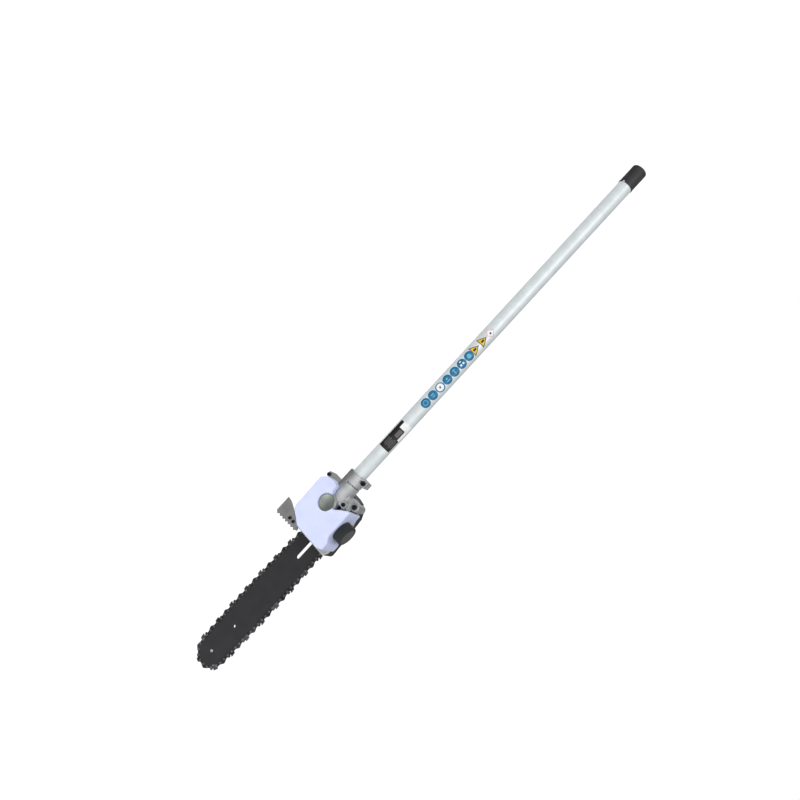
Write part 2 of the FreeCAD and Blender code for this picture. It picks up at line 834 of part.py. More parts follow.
def cutter(side):
    """A cutter: a strap that rises into a depth gauge and a tooth, whose top plate leans over."""
    outline = [
        (-reach - 2.4, -2.4),
        (reach + 2.4, -2.4),
        (reach + 3.1, 0),
        (reach + 2.7, 3.9),
        (reach + 1.2, 4.7),
        (reach - 1.2, 3.9),
        (reach - 2.2, 1.9),
        (0.6, 2.1),
        (1.3, 5.8),
        (-reach - 1.6, 5.0),
        (-reach - 3, 1.5),
    ]
    near, far = sorted((side * inner_face, side * outer_face))
    body = flat_link(outline, near, far)
    low, high = sorted((side * -0.9, side * (outer_face + 0.5)))
    top = [(-reach - 1.7, 4.3), (1.1, 5.1), (1.4, 6.1), (-reach - 1.5, 5.2)]
    points = [Vector(across, up, low) for across, up in top]
    top_plate = Part.Face(Part.makePolygon(points + points[:1])).extrude(Vector(0, 0, high - low))
    return body.fuse(top_plate).removeSplitter()


def tie_strap(side):
    near, far = sorted((side * inner_face, side * outer_face))
    return flat_link(strap_outline, near, far)


def guard_strap(side):
    """A tie strap with a hump, which stands between two cutters."""
    near, far = sorted((side * inner_face, side * outer_face))
    hump = [(-reach - 1.6, 1.5), (-1.4, 4.6), (1.8, 4.9), (reach + 0.6, 2.4), (reach, 0), (-reach, 0)]
    points = [Vector(across, up, near) for across, up in hump]
    raised = Part.Face(Part.makePolygon(points + points[:1])).extrude(Vector(0, 0, far - near))
    for side_x in (-reach, reach):
        hole = Part.makeCylinder(dims.rivet_radius.value + 0.12, far - near + 2, Vector(side_x, 0, near - 1))
        raised = raised.cut(hole)
    return tie_strap(side).fuse(raised).removeSplitter()


def chain_part(name, pattern, indexes):
    return copies(name, shaped(name + "_pattern", pattern), link_places(indexes))


drive_indexes = range(0, rivet_count, 2)
tie_indexes = range(3, rivet_count, 4)
left_indexes = range(1, rivet_count, 8)
right_indexes = range(5, rivet_count, 8)
keep("chain_drive_links", chain_part("drive", drive_link(), drive_indexes))
keep("chain_cutters_left", chain_part("left", cutter(-1), left_indexes))
keep("chain_cutters_right", chain_part("right", cutter(1), right_indexes))
strap_groups = [
    chain_part("near_guards", guard_strap(-1), tie_indexes),
    chain_part("far_guards", guard_strap(1), tie_indexes),
    chain_part("near_straps", tie_strap(-1), right_indexes),
    chain_part("far_straps", tie_strap(1), left_indexes),
]
all_straps = [solid for group in strap_groups for solid in group.Shape.Solids]
keep("chain_tie_straps", shaped("straps", Part.makeCompound(all_straps)))
rivet_half = outer_face + 0.35
rivet_profile = [
    (-rivet_half, 0),
    (rivet_half, 0),
    (rivet_half, 1.6),
    (outer_face, 2),
    (outer_face, dims.rivet_radius),
    (-outer_face, dims.rivet_radius),
    (-outer_face, 2),
    (-rivet_half, 1.6),
]
rivet = turned("rivet", "y", rivet_profile)
rivet_places = [Placement(Vector(p.x + gear_x.value, bar_y, p.z), Rotation()) for p in rivets]
keep("chain_rivets", copies("rivet_set", rivet, rivet_places))

# ---------------------------------------------------------------- sprockets and guide bar


def slotted_wheel(teeth, outer, slot_bottom, slot_width, low, high, bore, first_angle):
    """A sprocket: a disc with one slot for each drive link's tang, the first at a stated angle."""
    wheel = Part.makeCylinder(outer, high - low, Vector(0, low, 0), Vector(0, 1, 0))
    wheel = wheel.cut(Part.makeCylinder(bore, high - low, Vector(0, low, 0), Vector(0, 1, 0)))
    slot = Part.makeBox(outer, high - low, slot_width, Vector(slot_bottom, low, -slot_width / 2))
    for index in range(teeth):
        turn = Rotation(Vector(0, 1, 0), -(first_angle + 360 * index / teeth))
        wheel = wheel.cut(slot.transformed(Placement(Vector(), turn).toMatrix(), True))
    return wheel.removeSplitter()


def nearest_tang_angle(centre_x, wanted):
    """The angle about a sprocket's centre of the drive link that lies nearest to a wanted angle."""
    angles = []
    for index in drive_indexes:
        middle = (rivets[index] + rivets[index + 1]) / 2
        angles.append(math.degrees(math.atan2(middle.z, middle.x - centre_x)))
    return min(angles, key=lambda angle: abs((angle - wanted + 180) % 360 - 180))


# a sprocket's slots are a little wider and deeper than the tangs; its rim clears the straps
tang_slot_width, tang_slot_depth, rim_depth = 7.8, 8.2, 4.4


def drive_sprocket():
    teeth = int(dims.drive_teeth.value)
    angle = nearest_tang_angle(0, 180)
    rim, bottom = drive_radius - rim_depth, drive_radius - tang_slot_depth
    wheel = slotted_wheel(teeth, rim, bottom, tang_slot_width, 41.2, 50, 5, angle)
    return place(shaped("sprocket", wheel), (gear_x, 0, 0))


def nose_sprocket():
    teeth = int(dims.nose_teeth.value)
    angle = nearest_tang_angle(nose_x, 0)
    half = 0.58
    rim, bottom = nose_radius - rim_depth, nose_radius - tang_slot_depth
    wheel = slotted_wheel(teeth, rim, bottom, tang_slot_width, -half, half, 5.05, angle)
    return place(shaped("nose_wheel", wheel), (gear_x + dims.nose_distance, dims.bar_y, 0))


def bar_outline(inset):
    """The bar's outline: round nose, gently bowed sides and a blunt tail behind the sprocket."""
    top, nose, bottom, _ = path_edges(inset)
    tail_x = dims.bar_tail.value + inset - dims.rail_below_rivets.value
    sides = []
    for arc in (top, bottom):
        cutter_box = Part.makeBox(nose_x, 2, 120, Vector(tail_x + 6, -1, -60))
        sides.append(arc.common(cutter_box).Edges[0])
    corners = []
    for side in sides:
        ends = sorted((vertex.Point for vertex in side.Vertexes), key=lambda point: point.x)
        corners.append(ends[0])
    upper_tail, lower_tail = corners
    upper_corner = Vector(tail_x, 0, upper_tail.z - 7)
    lower_corner = Vector(tail_x, 0, lower_tail.z + 7)
    ends = [
        Part.makeLine(upper_tail, upper_corner),
        Part.makeLine(upper_corner, lower_corner),
        Part.makeLine(lower_corner, lower_tail),
    ]
    return Part.Wire(Part.__sortEdges__([sides[0], nose, sides[1]] + ends))


def bar_slab(inset, low, high):
    face = Part.Face(bar_outline(inset))
    slab = face.extrude(Vector(0, high - low, 0))
    return slab.translated(Vector(0, low, 0))


nose_pin_radius = 2


def guide_bar():
    """The bar: two face plates on a core, which is set in to leave the chain's groove."""
    edge = dims.rail_below_rivets.value
    half, groove = dims.bar_thickness.value / 2, dims.bar_groove.value / 2
    core = bar_slab(edge + dims.bar_groove_depth.value, -groove, groove)
    nose_room = Part.makeCylinder(nose_radius - 3, 2 * groove, Vector(nose_x, -groove, 0), Vector(0, 1, 0))
    nose_hub = Part.makeCylinder(5, 2 * groove, Vector(nose_x, -groove, 0), Vector(0, 1, 0))
    core = core.cut(nose_room).fuse(nose_hub)
    bar = bar_slab(edge, -half, -groove).fuse([core, bar_slab(edge, groove, half)])
    slot_half = dims.slot_width.value / 2
    start, end = dims.slot_start.value + slot_half, dims.slot_end.value - slot_half
    slot = Part.makeBox(end - start, 10, 2 * slot_half, Vector(start, -5, -slot_half))
    slot_ends = [Part.makeCylinder(slot_half, 10, Vector(x, -5, 0), Vector(0, 1, 0)) for x in (start, end)]
    holes = [
        Part.makeCylinder(radius, 10, Vector(x, -5, z), Vector(0, 1, 0))
        for x, z, radius in (
            (dims.tension_pin_x.value, dims.tension_z.value, 2.6),
            (dims.tension_pin_x.value, -dims.tension_z.value, 2.6),
            (dims.tip_hole_x.value, 0, 2.6),
            (nose_x, 0, nose_pin_radius),
        )
    ]
    bar = bar.cut([slot, *slot_ends, *holes]).removeSplitter()
    return place(shaped("bar", bar), (gear_x, dims.bar_y, 0))


def nose_rivet():
    face = dims.bar_thickness / 2
    head, rise = nose_pin_radius + 0.7, 0.4
    profile = [
        (-face - rise, 0),
        (face + rise, 0),
        (face + rise, head - rise),
        (face, head),
        (face, nose_pin_radius),
        (-face, nose_pin_radius),
        (-face, head),
        (-face - rise, head - rise),
    ]
    return turned("nose_pin", "y", profile, (gear_x + dims.nose_distance, dims.bar_y, 0))


keep("drive_sprocket", drive_sprocket())
keep("nose_sprocket", nose_sprocket())
keep("guide_bar", guide_bar())
keep("nose_rivet", nose_rivet())
shaft_radius = dims.bearing_bore / 2
keep("sprocket_washer", ring("washer", "y", 50.1, 51.1, shaft_radius + 0.02, 9, (gear_x, 0, 0)))
keep("retaining_clip", ring("clip", "y", 51.25, 52.15, 3.2, 7, (gear_x, 0, 0)))

# ---------------------------------------------------------------- bar mount and tensioner

cover_bottom = dims.cover_bottom
stud_radius = dims.stud_od / 2
stud_end = cover_bottom + 11
stud_profile = [
    (33, 0),
    (stud_end, 0),
    (stud_end, stud_radius - 0.5),
    (stud_end - 0.5, stud_radius),
    (33, stud_radius),
]
keep("bar_stud", turned("stud", "y", stud_profile, (gear_x + dims.stud_x, 0, 0)))


def bar_nut():
    """A flanged hexagon nut that clamps cover and bar onto the seat."""
    across = 5.6
    turns = [math.radians(60 * index) for index in range(6)]
    corners = [(across * math.cos(turn), across * math.sin(turn)) for turn in turns]
    hexagon = plate("nut_hexagon", corners, (cover_bottom + 1.3, cover_bottom + 7))
    flange = rod("nut_flange", "y", 7.5, 1.2, (0, cover_bottom + 0.2, 0))
    neck = rod("nut_neck", "y", 5, 2, (0, cover_bottom + 0.5, 0))
    hole = rod("nut_hole", "y", stud_radius + 0.05, 20, (0, cover_bottom - 5, 0))
    solid = fuse("nut_solid", [hexagon, flange, neck])
    return place(cut("nut", solid, [hole]), (gear_x + dims.stud_x, 0, 0))


def tension_block():
    """The block that the tension screw draws along its channel; its pin sits in the bar."""
    body = block("tension_slider", (gear_x + 45.4, gear_x + 54.6), (34.4, 43.6), (8.4, 17.2))
    pin = rod("tension_pin", "y", 2.4, 5, (gear_x + dims.tension_pin_x, 43, dims.tension_z))
    thread = rod("tension_thread", "x", 2.56, 12, (gear_x + 44, dims.tension_y, dims.tension_z))
    return cut("slider", fuse("slider_solid", [body, pin]), [thread])


keep("bar_nut", bar_nut())
keep("tension_block", tension_block())
tension_profile = [
    (38, 0),
    (76.6, 0),
    (76.6, 0.6),
    (78.4, 0.6),
    (78.4, 4),
    (74.4, 4),
    (74.4, 2.5),
    (38, 2.5),
]
keep("tension_screw", turned("tension", "x", tension_profile, (gear_x, dims.tension_y, dims.tension_z)))

# ---------------------------------------------------------------- oil tank and cap

tank_bottom = dims.base_top - 0.3
filler_x = gear_x + dims.filler_x
filler_y = dims.filler_y
filler_seat = dims.filler_seat


def tank_outline(wall):
    """The tank seen from its flat top, set in by a wall's thickness for its hollow."""
    return [
        (63 - wall, -10 + wall * 0.4),
        (46 - wall * 0.6, -34 + wall),
        (39, -36.5 + wall),
        (-21.5, -38.5 + wall),
        (-31 + wall, -29 + wall * 0.5),
        (-34 + wall, -16),
        (-31 + wall, -6 - wall * 0.5),
        (-20, -4 - wall),
        (0.5 + wall * 0.5, 18 + wall * 0.5),
        (-5 + wall, 24 + wall * 0.3),
        (-15.8 + wall, 38.3),
        (-16 + wall, 44 - wall),
        (42 + wall, 44 - wall),
        (42 + wall, 50.5 - wall),
        (57 - wall * 0.5, 50.5 - wall),
        (62.5 - wall, 42 - wall * 0.5),
    ]


def tank_body(name, wall):
    """The tank's block or, set in by the wall, its hollow, both cleared round the gear case."""
    top = dims.tank_top + wall
    corner_radius = 0.6 if wall else 3
    body = plate(name, tank_outline(wall), (top, tank_bottom - wall), (gear_x, 0, 0), corner_radius)
    air = 0.7
    gap = air + wall
    rear = 60
    clearances = [
        rod(name + "_disc_gap", "y", dims.cap_disc_od / 2 + 0.4 + wall, 60, (gear_x, dims.tank_top - 5, 0)),
        rod(name + "_boss_gap", "y", dims.boss_od / 2 + gap, 60, (gear_x, dims.case_top - 0.6 - wall, 0)),
        rod(name + "_case_gap", "y", dims.case_od / 2 + gap, 40, (gear_x, -8.7 - wall, 0)),
        rod(name + "_clamp_gap", "x", dims.clamp_od / 2 + gap, 70, (gear_x - 72, 0, 0)),
        block(name + "_ear_gap", (gear_x - rear, locating_x + 6 + gap), (-13 - gap, 40), (0, 26 + gap)),
        block(name + "_web_gap", (gear_x - rear, gear_x - 11 + gap), (-8 - gap, 40), (0, 34 + gap)),
        block(name + "_lug_gap", (gear_x - rear, case_screw_x + 7.5 + gap), (-9 - gap, 40), (20, 50)),
        block(name + "_rear_gap", (gear_x - rear, gear_x - 28 + gap), (-4 - gap, 40), (-50, -19 + gap)),
    ]
    return cut(name + "_cleared", body, clearances)


def oil_tank():
    outer = tank_body("tank_outer", 0)
    hollow = tank_body("tank_hollow", SIZES["tank_wall"])
    neck = rod("filler_neck", "z", 13.5, 7, (filler_x, filler_y, filler_seat - 1))
    throat = rod("filler_throat", "z", 11.3, 12, (filler_x, filler_y, filler_seat - 5))
    hose_hole = rod("hose_hole", "y", 3, 10, (gear_x + 30, tank_bottom - 5, -20))
    shell = cut("tank_shell", outer, [hollow])
    return cut("tank", fuse("tank_solid", [shell, neck]), [throat, hose_hole])


def oil_cap():
    """The screw cap: a skirt over the neck under a flat end with a bevelled rim."""
    outer = dims.oil_cap_od / 2
    end = dims.oil_cap_end
    bevel = 1.4
    profile = [
        (end, 0),
        (end, outer - bevel),
        (end - bevel, outer),
        (filler_seat + 0.5, outer),
        (filler_seat + 0.5, 13.9),
        (filler_seat + 8.4, 13.9),
        (filler_seat + 8.4, 0),
    ]
    return turned("cap_skirt", "z", profile, (filler_x, filler_y, 0))


keep("oil_tank", oil_tank())
keep("oil_cap", oil_cap())
gasket = ring("gasket", "z", filler_seat + 6.4, filler_seat + 8.3, 11.6, 13.7, (filler_x, filler_y, 0))
keep("cap_gasket", gasket)


def oil_hose():
    """The pick-up hose inside the tank, from the grommet to the weighted filter."""
    points = [Vector(30, 17, -20), Vector(30, 4, -20), Vector(42, -8, 2), Vector(50, -8, 22)]
    first_turn = (points[1] - points[0]).normalize()
    route = Part.Wire([Part.makeLine(points[0], points[1]), Part.Arc(points[1], *points[2:]).toShape()])
    start = Part.makeCircle(2.6, points[0], first_turn)
    tube = route.makePipeShell([Part.Wire([start])], True, True)
    return place(shaped("hose", tube), (gear_x, 0, 0))


keep("oil_hose", oil_hose())
filter_at = Placement(Vector(gear_x.value + 53, -8, 29.2), Rotation())
keep("oil_filter", copies("filter", ring("filter_body", "z", -5, 9, 0, 5.4), [filter_at]))
grommet_profile = [(15.4, 2.7), (15.4, 5), (17, 5), (17, 3), (20, 3), (20, 2.7)]
keep("hose_grommet", turned("grommet", "y", grommet_profile, (gear_x + 30, 0, -20)))

# ---------------------------------------------------------------- chain cover


def cover_outline(wall):
    return [
        (-31 + wall, -29),
        (-23 + wall * 0.4, -44 + wall),
        (77, -44 + wall),
        (77, 41 - wall),
        (72, 43 - wall),
        (13, 39 - wall),
        (-8 + wall * 0.2, 37 - wall),
        (-20 + wall * 0.7, 31 - wall * 0.7),
        (-29 + wall, 20 - wall * 0.3),
        (-31 + wall, 10),
    ]


def chain_cover():
    """The side cover: a shallow tray over the sprocket, open at the front for bar and chain."""
    wall = SIZES["cover_wall"]
    tray = plate("cover_block", cover_outline(0), (case_bottom + 0.3, cover_bottom), (gear_x, 0, 0), 2)
    room = plate("cover_room", cover_outline(wall), (case_bottom - 5, cover_bottom - wall), (gear_x, 0, 0), 1)
    mouth_heights = (case_bottom - 5, cover_bottom - wall)
    mouth = block("cover_mouth", (gear_x + 71, gear_x + 90), mouth_heights, (-40, 40))
    seat_top = dims.bar_y + dims.bar_thickness / 2 + 0.2
    seat = rod("cover_seat", "y", 9, cover_bottom + 0.2 - seat_top, (gear_x + dims.stud_x, seat_top, 0))
    shell = cut("cover_shell", tray, [room, mouth])
    hole = rod("cover_hole", "y", stud_radius + 0.2, 30, (gear_x + dims.stud_x, 40, 0))
    return cut("cover", fuse("cover_solid", [shell, seat]), [hole])


keep("chain_cover", chain_cover())

# ---------------------------------------------------------------- bumper and screws


def spiked_bumper():
    """The flat plate whose toothed front edge rests against the branch."""
    low, high = -80, -25
    tooth_pitch, tooth_depth, teeth = 7.4, 3, 7
    front_outer, front_inner = 87.5, 85.5
    outline = [(53, low), (front_outer - tooth_depth, low)]
    for index in range(teeth):
        tip = front_outer + (front_inner - front_outer) * index / (teeth - 1)
        start = low + 2 + index * tooth_pitch
        outline += [
            (tip - tooth_depth, start),
            (tip, start + tooth_pitch * 0.42),
            (tip - tooth_depth, start + tooth_pitch * 0.84),
        ]
    outline += [(front_inner - tooth_depth, high), (78, high), (74, -33), (61, -56), (57, -64), (54, -71.5)]
    y_range = (dims.bumper_y, dims.bumper_y + dims.bumper_thickness)
    flat = plate("bumper_plate", outline, y_range, (gear_x, 0, 0))
    holes = [
        rod(name, "y", 1.7, 8, (bumper_screw_x, dims.bumper_y - 2, height))
        for name, height in (("outer_hole", dims.bumper_screw_outer), ("inner_hole", dims.bumper_screw_inner))
    ]
    return cut("bumper", flat, holes)


keep("spiked_bumper", spiked_bumper())


def screw_set(name, pattern, spots):
    """Copies of a screw, each spot being the point under its head."""
    places = [Placement(Vector(number(x), number(y), number(z)), Rotation()) for x, y, z in spots]
    return keep(name, copies(name + "_set", pattern, places))


bumper_spots = [
    (bumper_screw_x, dims.bumper_y, height) for height in (dims.bumper_screw_outer, dims.bumper_screw_inner)
]
screw_set("bumper_screws", screw("bumper_screw", 3, 2.4, 1.58, 6.5, 1.2), bumper_spots)
for name, head_radius, head_height, shank_radius, shank_length, socket_radius, spot in (
    ("clamp_screw", 4.4, 4.2, 2.55, 19.5, 2.2, (clamp_screw_x, -10, dims.clamp_screw_z)),
    ("locating_screw", 3.4, 3, 1.85, 20, 1.6, (locating_x, -13, dims.locating_screw_z)),
    ("case_screw", 4.4, 4.2, 2.55, 28, 2.2, (case_screw_x, -9, dims.case_screw_z)),
    ("cover_lug_screw", 3.6, 3.4, 2.05, 26, 1.8, (lug_screw_x, -4, dims.lug_screw_z)),
):
    bolt = screw(name + "_bolt", head_radius, head_height, shank_radius, shank_length, socket_radius)
    screw_set(name, bolt, [spot])

# ---------------------------------------------------------------- label and stickers

def film_patch(distance, corners):
    """A patch of film on the tube, behind the output axis: a thin sleeve inside a prism of corners."""
    along = gear_x.value - distance
    outer_radius = tube_radius.value + dims.film_thickness.value
    reach_back = 2 * tube_radius.value
    points = [Vector(along + across, -reach_back, up) for across, up in corners]
    prism = Part.Face(Part.makePolygon(points + points[:1])).extrude(Vector(0, reach_back, 0))
    span = 2 * dims.label_half_length.value + 10
    start = Vector(along - span / 2, 0, 0)
    outer = Part.makeCylinder(outer_radius, span, start, Vector(1, 0, 0))
    inner = Part.makeCylinder(tube_radius.value, span, start, Vector(1, 0, 0))
    turn = Rotation(Vector(1, 0, 0), -dims.film_turn.value)
    return outer.cut(inner).common(prism).transformed(Placement(Vector(), turn).toMatrix(), True)


def circle_corners(radius):
    steps = [math.radians(15 * index) for index in range(24)]
    return [(radius * math.cos(angle), radius * math.sin(angle)) for angle in steps]


def rating_label():
    length, width = dims.label_half_length.value, dims.label_half_width.value
    corners = [(-length, -width), (length, -width), (length, width), (-length, width)]
    return shaped("label", film_patch(dims.label_x.value, corners))


def stickers():
    """Seven round stickers, two triangles pointing at the tube's open end, and a diamond."""
    disc = circle_corners(dims.sticker_od.value / 2)
    reach, side = dims.triangle_length.value / 2, dims.triangle_width.value / 2
    triangle = [(-reach, 0), (reach, -side), (reach, side)]
    corner = dims.diamond_side.value / 2
    diamond = [(-corner, 0), (0, -corner), (corner, 0), (0, corner)]
    patches = []
    for shape, start, pitch, count in (
        (disc, dims.sticker_x, dims.sticker_pitch, 7),
        (triangle, dims.triangle_x, dims.triangle_pitch, 2),
        (diamond, dims.diamond_x, 0, 1),
    ):
        patches += [film_patch(number(start) + number(pitch) * index, shape) for index in range(count)]
    return shaped("sticker_set", Part.makeCompound(patches))


keep("rating_label", rating_label())
keep("warning_stickers", stickers())

# ---------------------------------------------------------------- checks and files

doc.recompute()
for thing in doc.Objects:
    if "Invalid" in thing.State or "Error" in thing.State:
        raise RuntimeError(f"{thing.Name} failed: {thing.State}")
os.makedirs("parts", exist_ok=True)
for node in nodes:
    if node.Shape.isNull() or not node.Shape.isValid():
        raise RuntimeError(f"{node.Label} has no valid shape")
    node.Shape.exportStep(f"parts/{node.Label}.step")
print(f"{len(nodes)} nodes; rivets are {rivet_step:.4f} mm apart along the chain")
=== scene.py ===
import math

import bmesh
import bpy
from mathutils import Matrix, Vector


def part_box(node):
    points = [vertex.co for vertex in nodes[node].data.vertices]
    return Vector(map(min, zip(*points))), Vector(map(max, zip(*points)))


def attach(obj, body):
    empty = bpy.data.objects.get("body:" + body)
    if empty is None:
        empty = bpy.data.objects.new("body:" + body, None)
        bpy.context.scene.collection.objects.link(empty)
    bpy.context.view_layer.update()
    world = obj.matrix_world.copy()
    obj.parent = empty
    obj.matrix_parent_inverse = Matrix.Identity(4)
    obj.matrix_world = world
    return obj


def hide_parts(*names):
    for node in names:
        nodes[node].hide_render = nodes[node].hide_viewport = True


# Pole saw attachment: materials, finer pieces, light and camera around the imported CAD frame.

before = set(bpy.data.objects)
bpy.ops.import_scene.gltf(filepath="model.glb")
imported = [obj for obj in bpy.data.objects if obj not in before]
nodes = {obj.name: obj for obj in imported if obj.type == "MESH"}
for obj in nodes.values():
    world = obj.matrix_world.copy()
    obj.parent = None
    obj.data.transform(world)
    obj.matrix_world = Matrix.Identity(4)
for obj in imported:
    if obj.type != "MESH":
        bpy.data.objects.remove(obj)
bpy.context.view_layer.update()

tube_low, tube_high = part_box("drive_tube")
disc_low, disc_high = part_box("bearing_cap")
GEAR_X = (disc_low.x + disc_high.x) / 2
TUBE_RADIUS = (tube_high.z - tube_low.z) / 2
CAP_CENTRE = (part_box("oil_cap")[0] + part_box("oil_cap")[1]) / 2
MM = 0.001

# ---------------------------------------------------------------- shader building


def new_material(name):
    """A material with its shader, output and an object-coordinate input; returns its parts."""
    material = bpy.data.materials.new(name)
    material.use_nodes = True
    tree = material.node_tree
    shader = tree.nodes["Principled BSDF"]
    place = tree.nodes.new("ShaderNodeTexCoord")
    return material, tree, shader, place.outputs["Object"]


def noise(tree, place, scale, detail=4, stretch=(1, 1, 1)):
    """Noise over the object, as features per metre, stretched along chosen axes."""
    mapping = tree.nodes.new("ShaderNodeMapping")
    mapping.inputs["Scale"].default_value = [scale * amount for amount in stretch]
    tree.links.new(place, mapping.inputs["Vector"])
    texture = tree.nodes.new("ShaderNodeTexNoise")
    texture.inputs["Scale"].default_value = 1
    texture.inputs["Detail"].default_value = detail
    texture.inputs["Roughness"].default_value = 0.6
    tree.links.new(mapping.outputs["Vector"], texture.inputs["Vector"])
    return texture.outputs["Fac"]


def remap(tree, value, low, high, out_low, out_high):
    ranged = tree.nodes.new("ShaderNodeMapRange")
    ranged.inputs["From Min"].default_value = low
    ranged.inputs["From Max"].default_value = high
    ranged.inputs["To Min"].default_value = out_low
    ranged.inputs["To Max"].default_value = out_high
    tree.links.new(value, ranged.inputs["Value"])
    return ranged.outputs["Result"]


def arithmetic(tree, operation, first, second):
    maths = tree.nodes.new("ShaderNodeMath")
    maths.operation = operation
    for socket, value in zip(maths.inputs, (first, second)):
        if isinstance(value, (int, float)):
            socket.default_value = value
        else:
            tree.links.new(value, socket)
    return maths.outputs["Value"]


def blend_colors(tree, factor, first, second):
    mix = tree.nodes.new("ShaderNodeMix")
    mix.data_type = "RGBA"
    tree.links.new(factor, mix.inputs["Factor"])
    for socket, color in ((mix.inputs[6], first), (mix.inputs[7], second)):
        if isinstance(color, tuple):
            socket.default_value = (*color, 1)
        else:
            tree.links.new(color, socket)
    return mix.outputs[2]


def edge_wear(tree, radius=0.0012):
    """How far the surface is a sharp edge, from the bevelled normal against the true one."""
    bevel = tree.nodes.new("ShaderNodeBevel")
    bevel.samples = 4
    bevel.inputs["Radius"].default_value = radius
    geometry = tree.nodes.new("ShaderNodeNewGeometry")
    dot = tree.nodes.new("ShaderNodeVectorMath")
    dot.operation = "DOT_PRODUCT"
    tree.links.new(bevel.outputs["Normal"], dot.inputs[0])
    tree.links.new(geometry.outputs["Normal"], dot.inputs[1])
    return remap(tree, dot.outputs["Value"], 0.995, 0.88, 0, 1)


def add_bump(tree, shader, height, distance):
    bump = tree.nodes.new("ShaderNodeBump")
    bump.inputs["Distance"].default_value = distance
    bump.inputs["Strength"].default_value = 1.0
    tree.links.new(height, bump.inputs["Height"])
    tree.links.new(bump.outputs["Normal"], shader.inputs["Normal"])


def metal(
    name, dark, light, rough=(0.3, 0.45), grain=900, stretch=(1, 1, 1), bump=0.00002, wear=None, metallic=1.0
):
    """A metal: mottled colour, grain that varies its roughness, fine bump and brighter worn edges."""
    material, tree, shader, place = new_material(name)
    cloud = noise(tree, place, 60, detail=5)
    color = blend_colors(tree, remap(tree, cloud, 0.35, 0.65, 0, 1), dark, light)
    fine = noise(tree, place, grain, detail=3, stretch=stretch)
    roughness = remap(tree, fine, 0.3, 0.7, *rough)
    if wear:
        worn = arithmetic(tree, "MULTIPLY", edge_wear(tree), remap(tree, cloud, 0.4, 0.6, 0.25, 1))
        color = blend_colors(tree, worn, color, wear)
    tree.links.new(color, shader.inputs["Base Color"])
    tree.links.new(roughness, shader.inputs["Roughness"])
    shader.inputs["Metallic"].default_value = metallic
    add_bump(tree, shader, fine, bump)
    return material


def plastic(name, dark, light, rough=(0.4, 0.6), grain=1400, bump=0.00003, specular=0.5):
    """Moulded plastic: slight mottling, a fine spark-eroded texture and rubbed, paler edges."""
    material, tree, shader, place = new_material(name)
    cloud = noise(tree, place, 45, detail=5)
    color = blend_colors(tree, remap(tree, cloud, 0.35, 0.65, 0, 1), dark, light)
    rubbed = tuple(min(1, channel * 1.7 + 0.02) for channel in light)
    worn = arithmetic(tree, "MULTIPLY", edge_wear(tree, 0.0009), 0.5)
    fine = noise(tree, place, grain, detail=2)
    tree.links.new(blend_colors(tree, worn, color, rubbed), shader.inputs["Base Color"])
    tree.links.new(remap(tree, fine, 0.3, 0.7, *rough), shader.inputs["Roughness"])
    shader.inputs["Specular IOR Level"].default_value = specular
    add_bump(tree, shader, fine, bump)
    return material


def tank_plastic():
    """Bluish-white polyethylene, lavender, with a mould line; a painted shade greys the rounded edges and
    sides that turn away from the camera and do not face up.
    """
    material, tree, shader, place = new_material("tank_polyethylene")
    cloud = noise(tree, place, 30, detail=3)
    body = blend_colors(tree, remap(tree, cloud, 0.3, 0.7, 0, 1), (0.60, 0.65, 0.95), (0.66, 0.71, 0.98))
    geometry = tree.nodes.new("ShaderNodeNewGeometry")
    split = tree.nodes.new("ShaderNodeSeparateXYZ")
    tree.links.new(geometry.outputs["Normal"], split.inputs["Vector"])
    # Painted shade: a mask from the surface normal, strongest where the tank turns away from the camera and
    # spared where it faces up.
    facing_filler = remap(tree, split.outputs["Z"], 0.1, 0.7, 1, 0)
    turned_away = remap(tree, split.outputs["Y"], -0.97, -0.4, 0, 0.75)
    painted_side_shade = arithmetic(tree, "MULTIPLY", turned_away, facing_filler)
    # This grey is painted shade on the sides turned from the camera, not a colour of the plastic.
    color = blend_colors(tree, painted_side_shade, body, (0.56, 0.60, 0.66))
    tree.links.new(color, shader.inputs["Base Color"])
    fine = noise(tree, place, 700, detail=3)
    tree.links.new(remap(tree, fine, 0.3, 0.7, 0.36, 0.48), shader.inputs["Roughness"])
    shader.inputs["Subsurface Weight"].default_value = 0.3
    shader.inputs["Subsurface Radius"].default_value = (0.008, 0.009, 0.014)
    shader.inputs["Subsurface Scale"].default_value = 0.4
    shader.inputs["IOR"].default_value = 1.5
    across = tree.nodes.new("ShaderNodeSeparateXYZ")
    tree.links.new(place, across.inputs["Vector"])
    from_line = arithmetic(tree, "ABSOLUTE", arithmetic(tree, "ADD", across.outputs["Y"], 0.006), 0)
    mould_line = remap(tree, from_line, 0.0001, 0.0006, 1, 0)
    height = arithmetic(tree, "ADD", mould_line, arithmetic(tree, "MULTIPLY", fine, 0.08))
    add_bump(tree, shader, height, 0.0003)
    return material


def printed_film(name, color, rough=0.32):
    """Printed film: one ink with faint mottling and a slightly uneven gloss."""
    material, tree, shader, place = new_material(name)
    cloud = noise(tree, place, 300, detail=4)
    darker = tuple(channel * 0.82 for channel in color)
    tone = blend_colors(tree, remap(tree, cloud, 0.35, 0.65, 0, 1), darker, color)
    tree.links.new(tone, shader.inputs["Base Color"])
    tree.links.new(remap(tree, cloud, 0.3, 0.7, rough - 0.05, rough + 0.08), shader.inputs["Roughness"])
    add_bump(tree, shader, cloud, 0.00001)
    return material


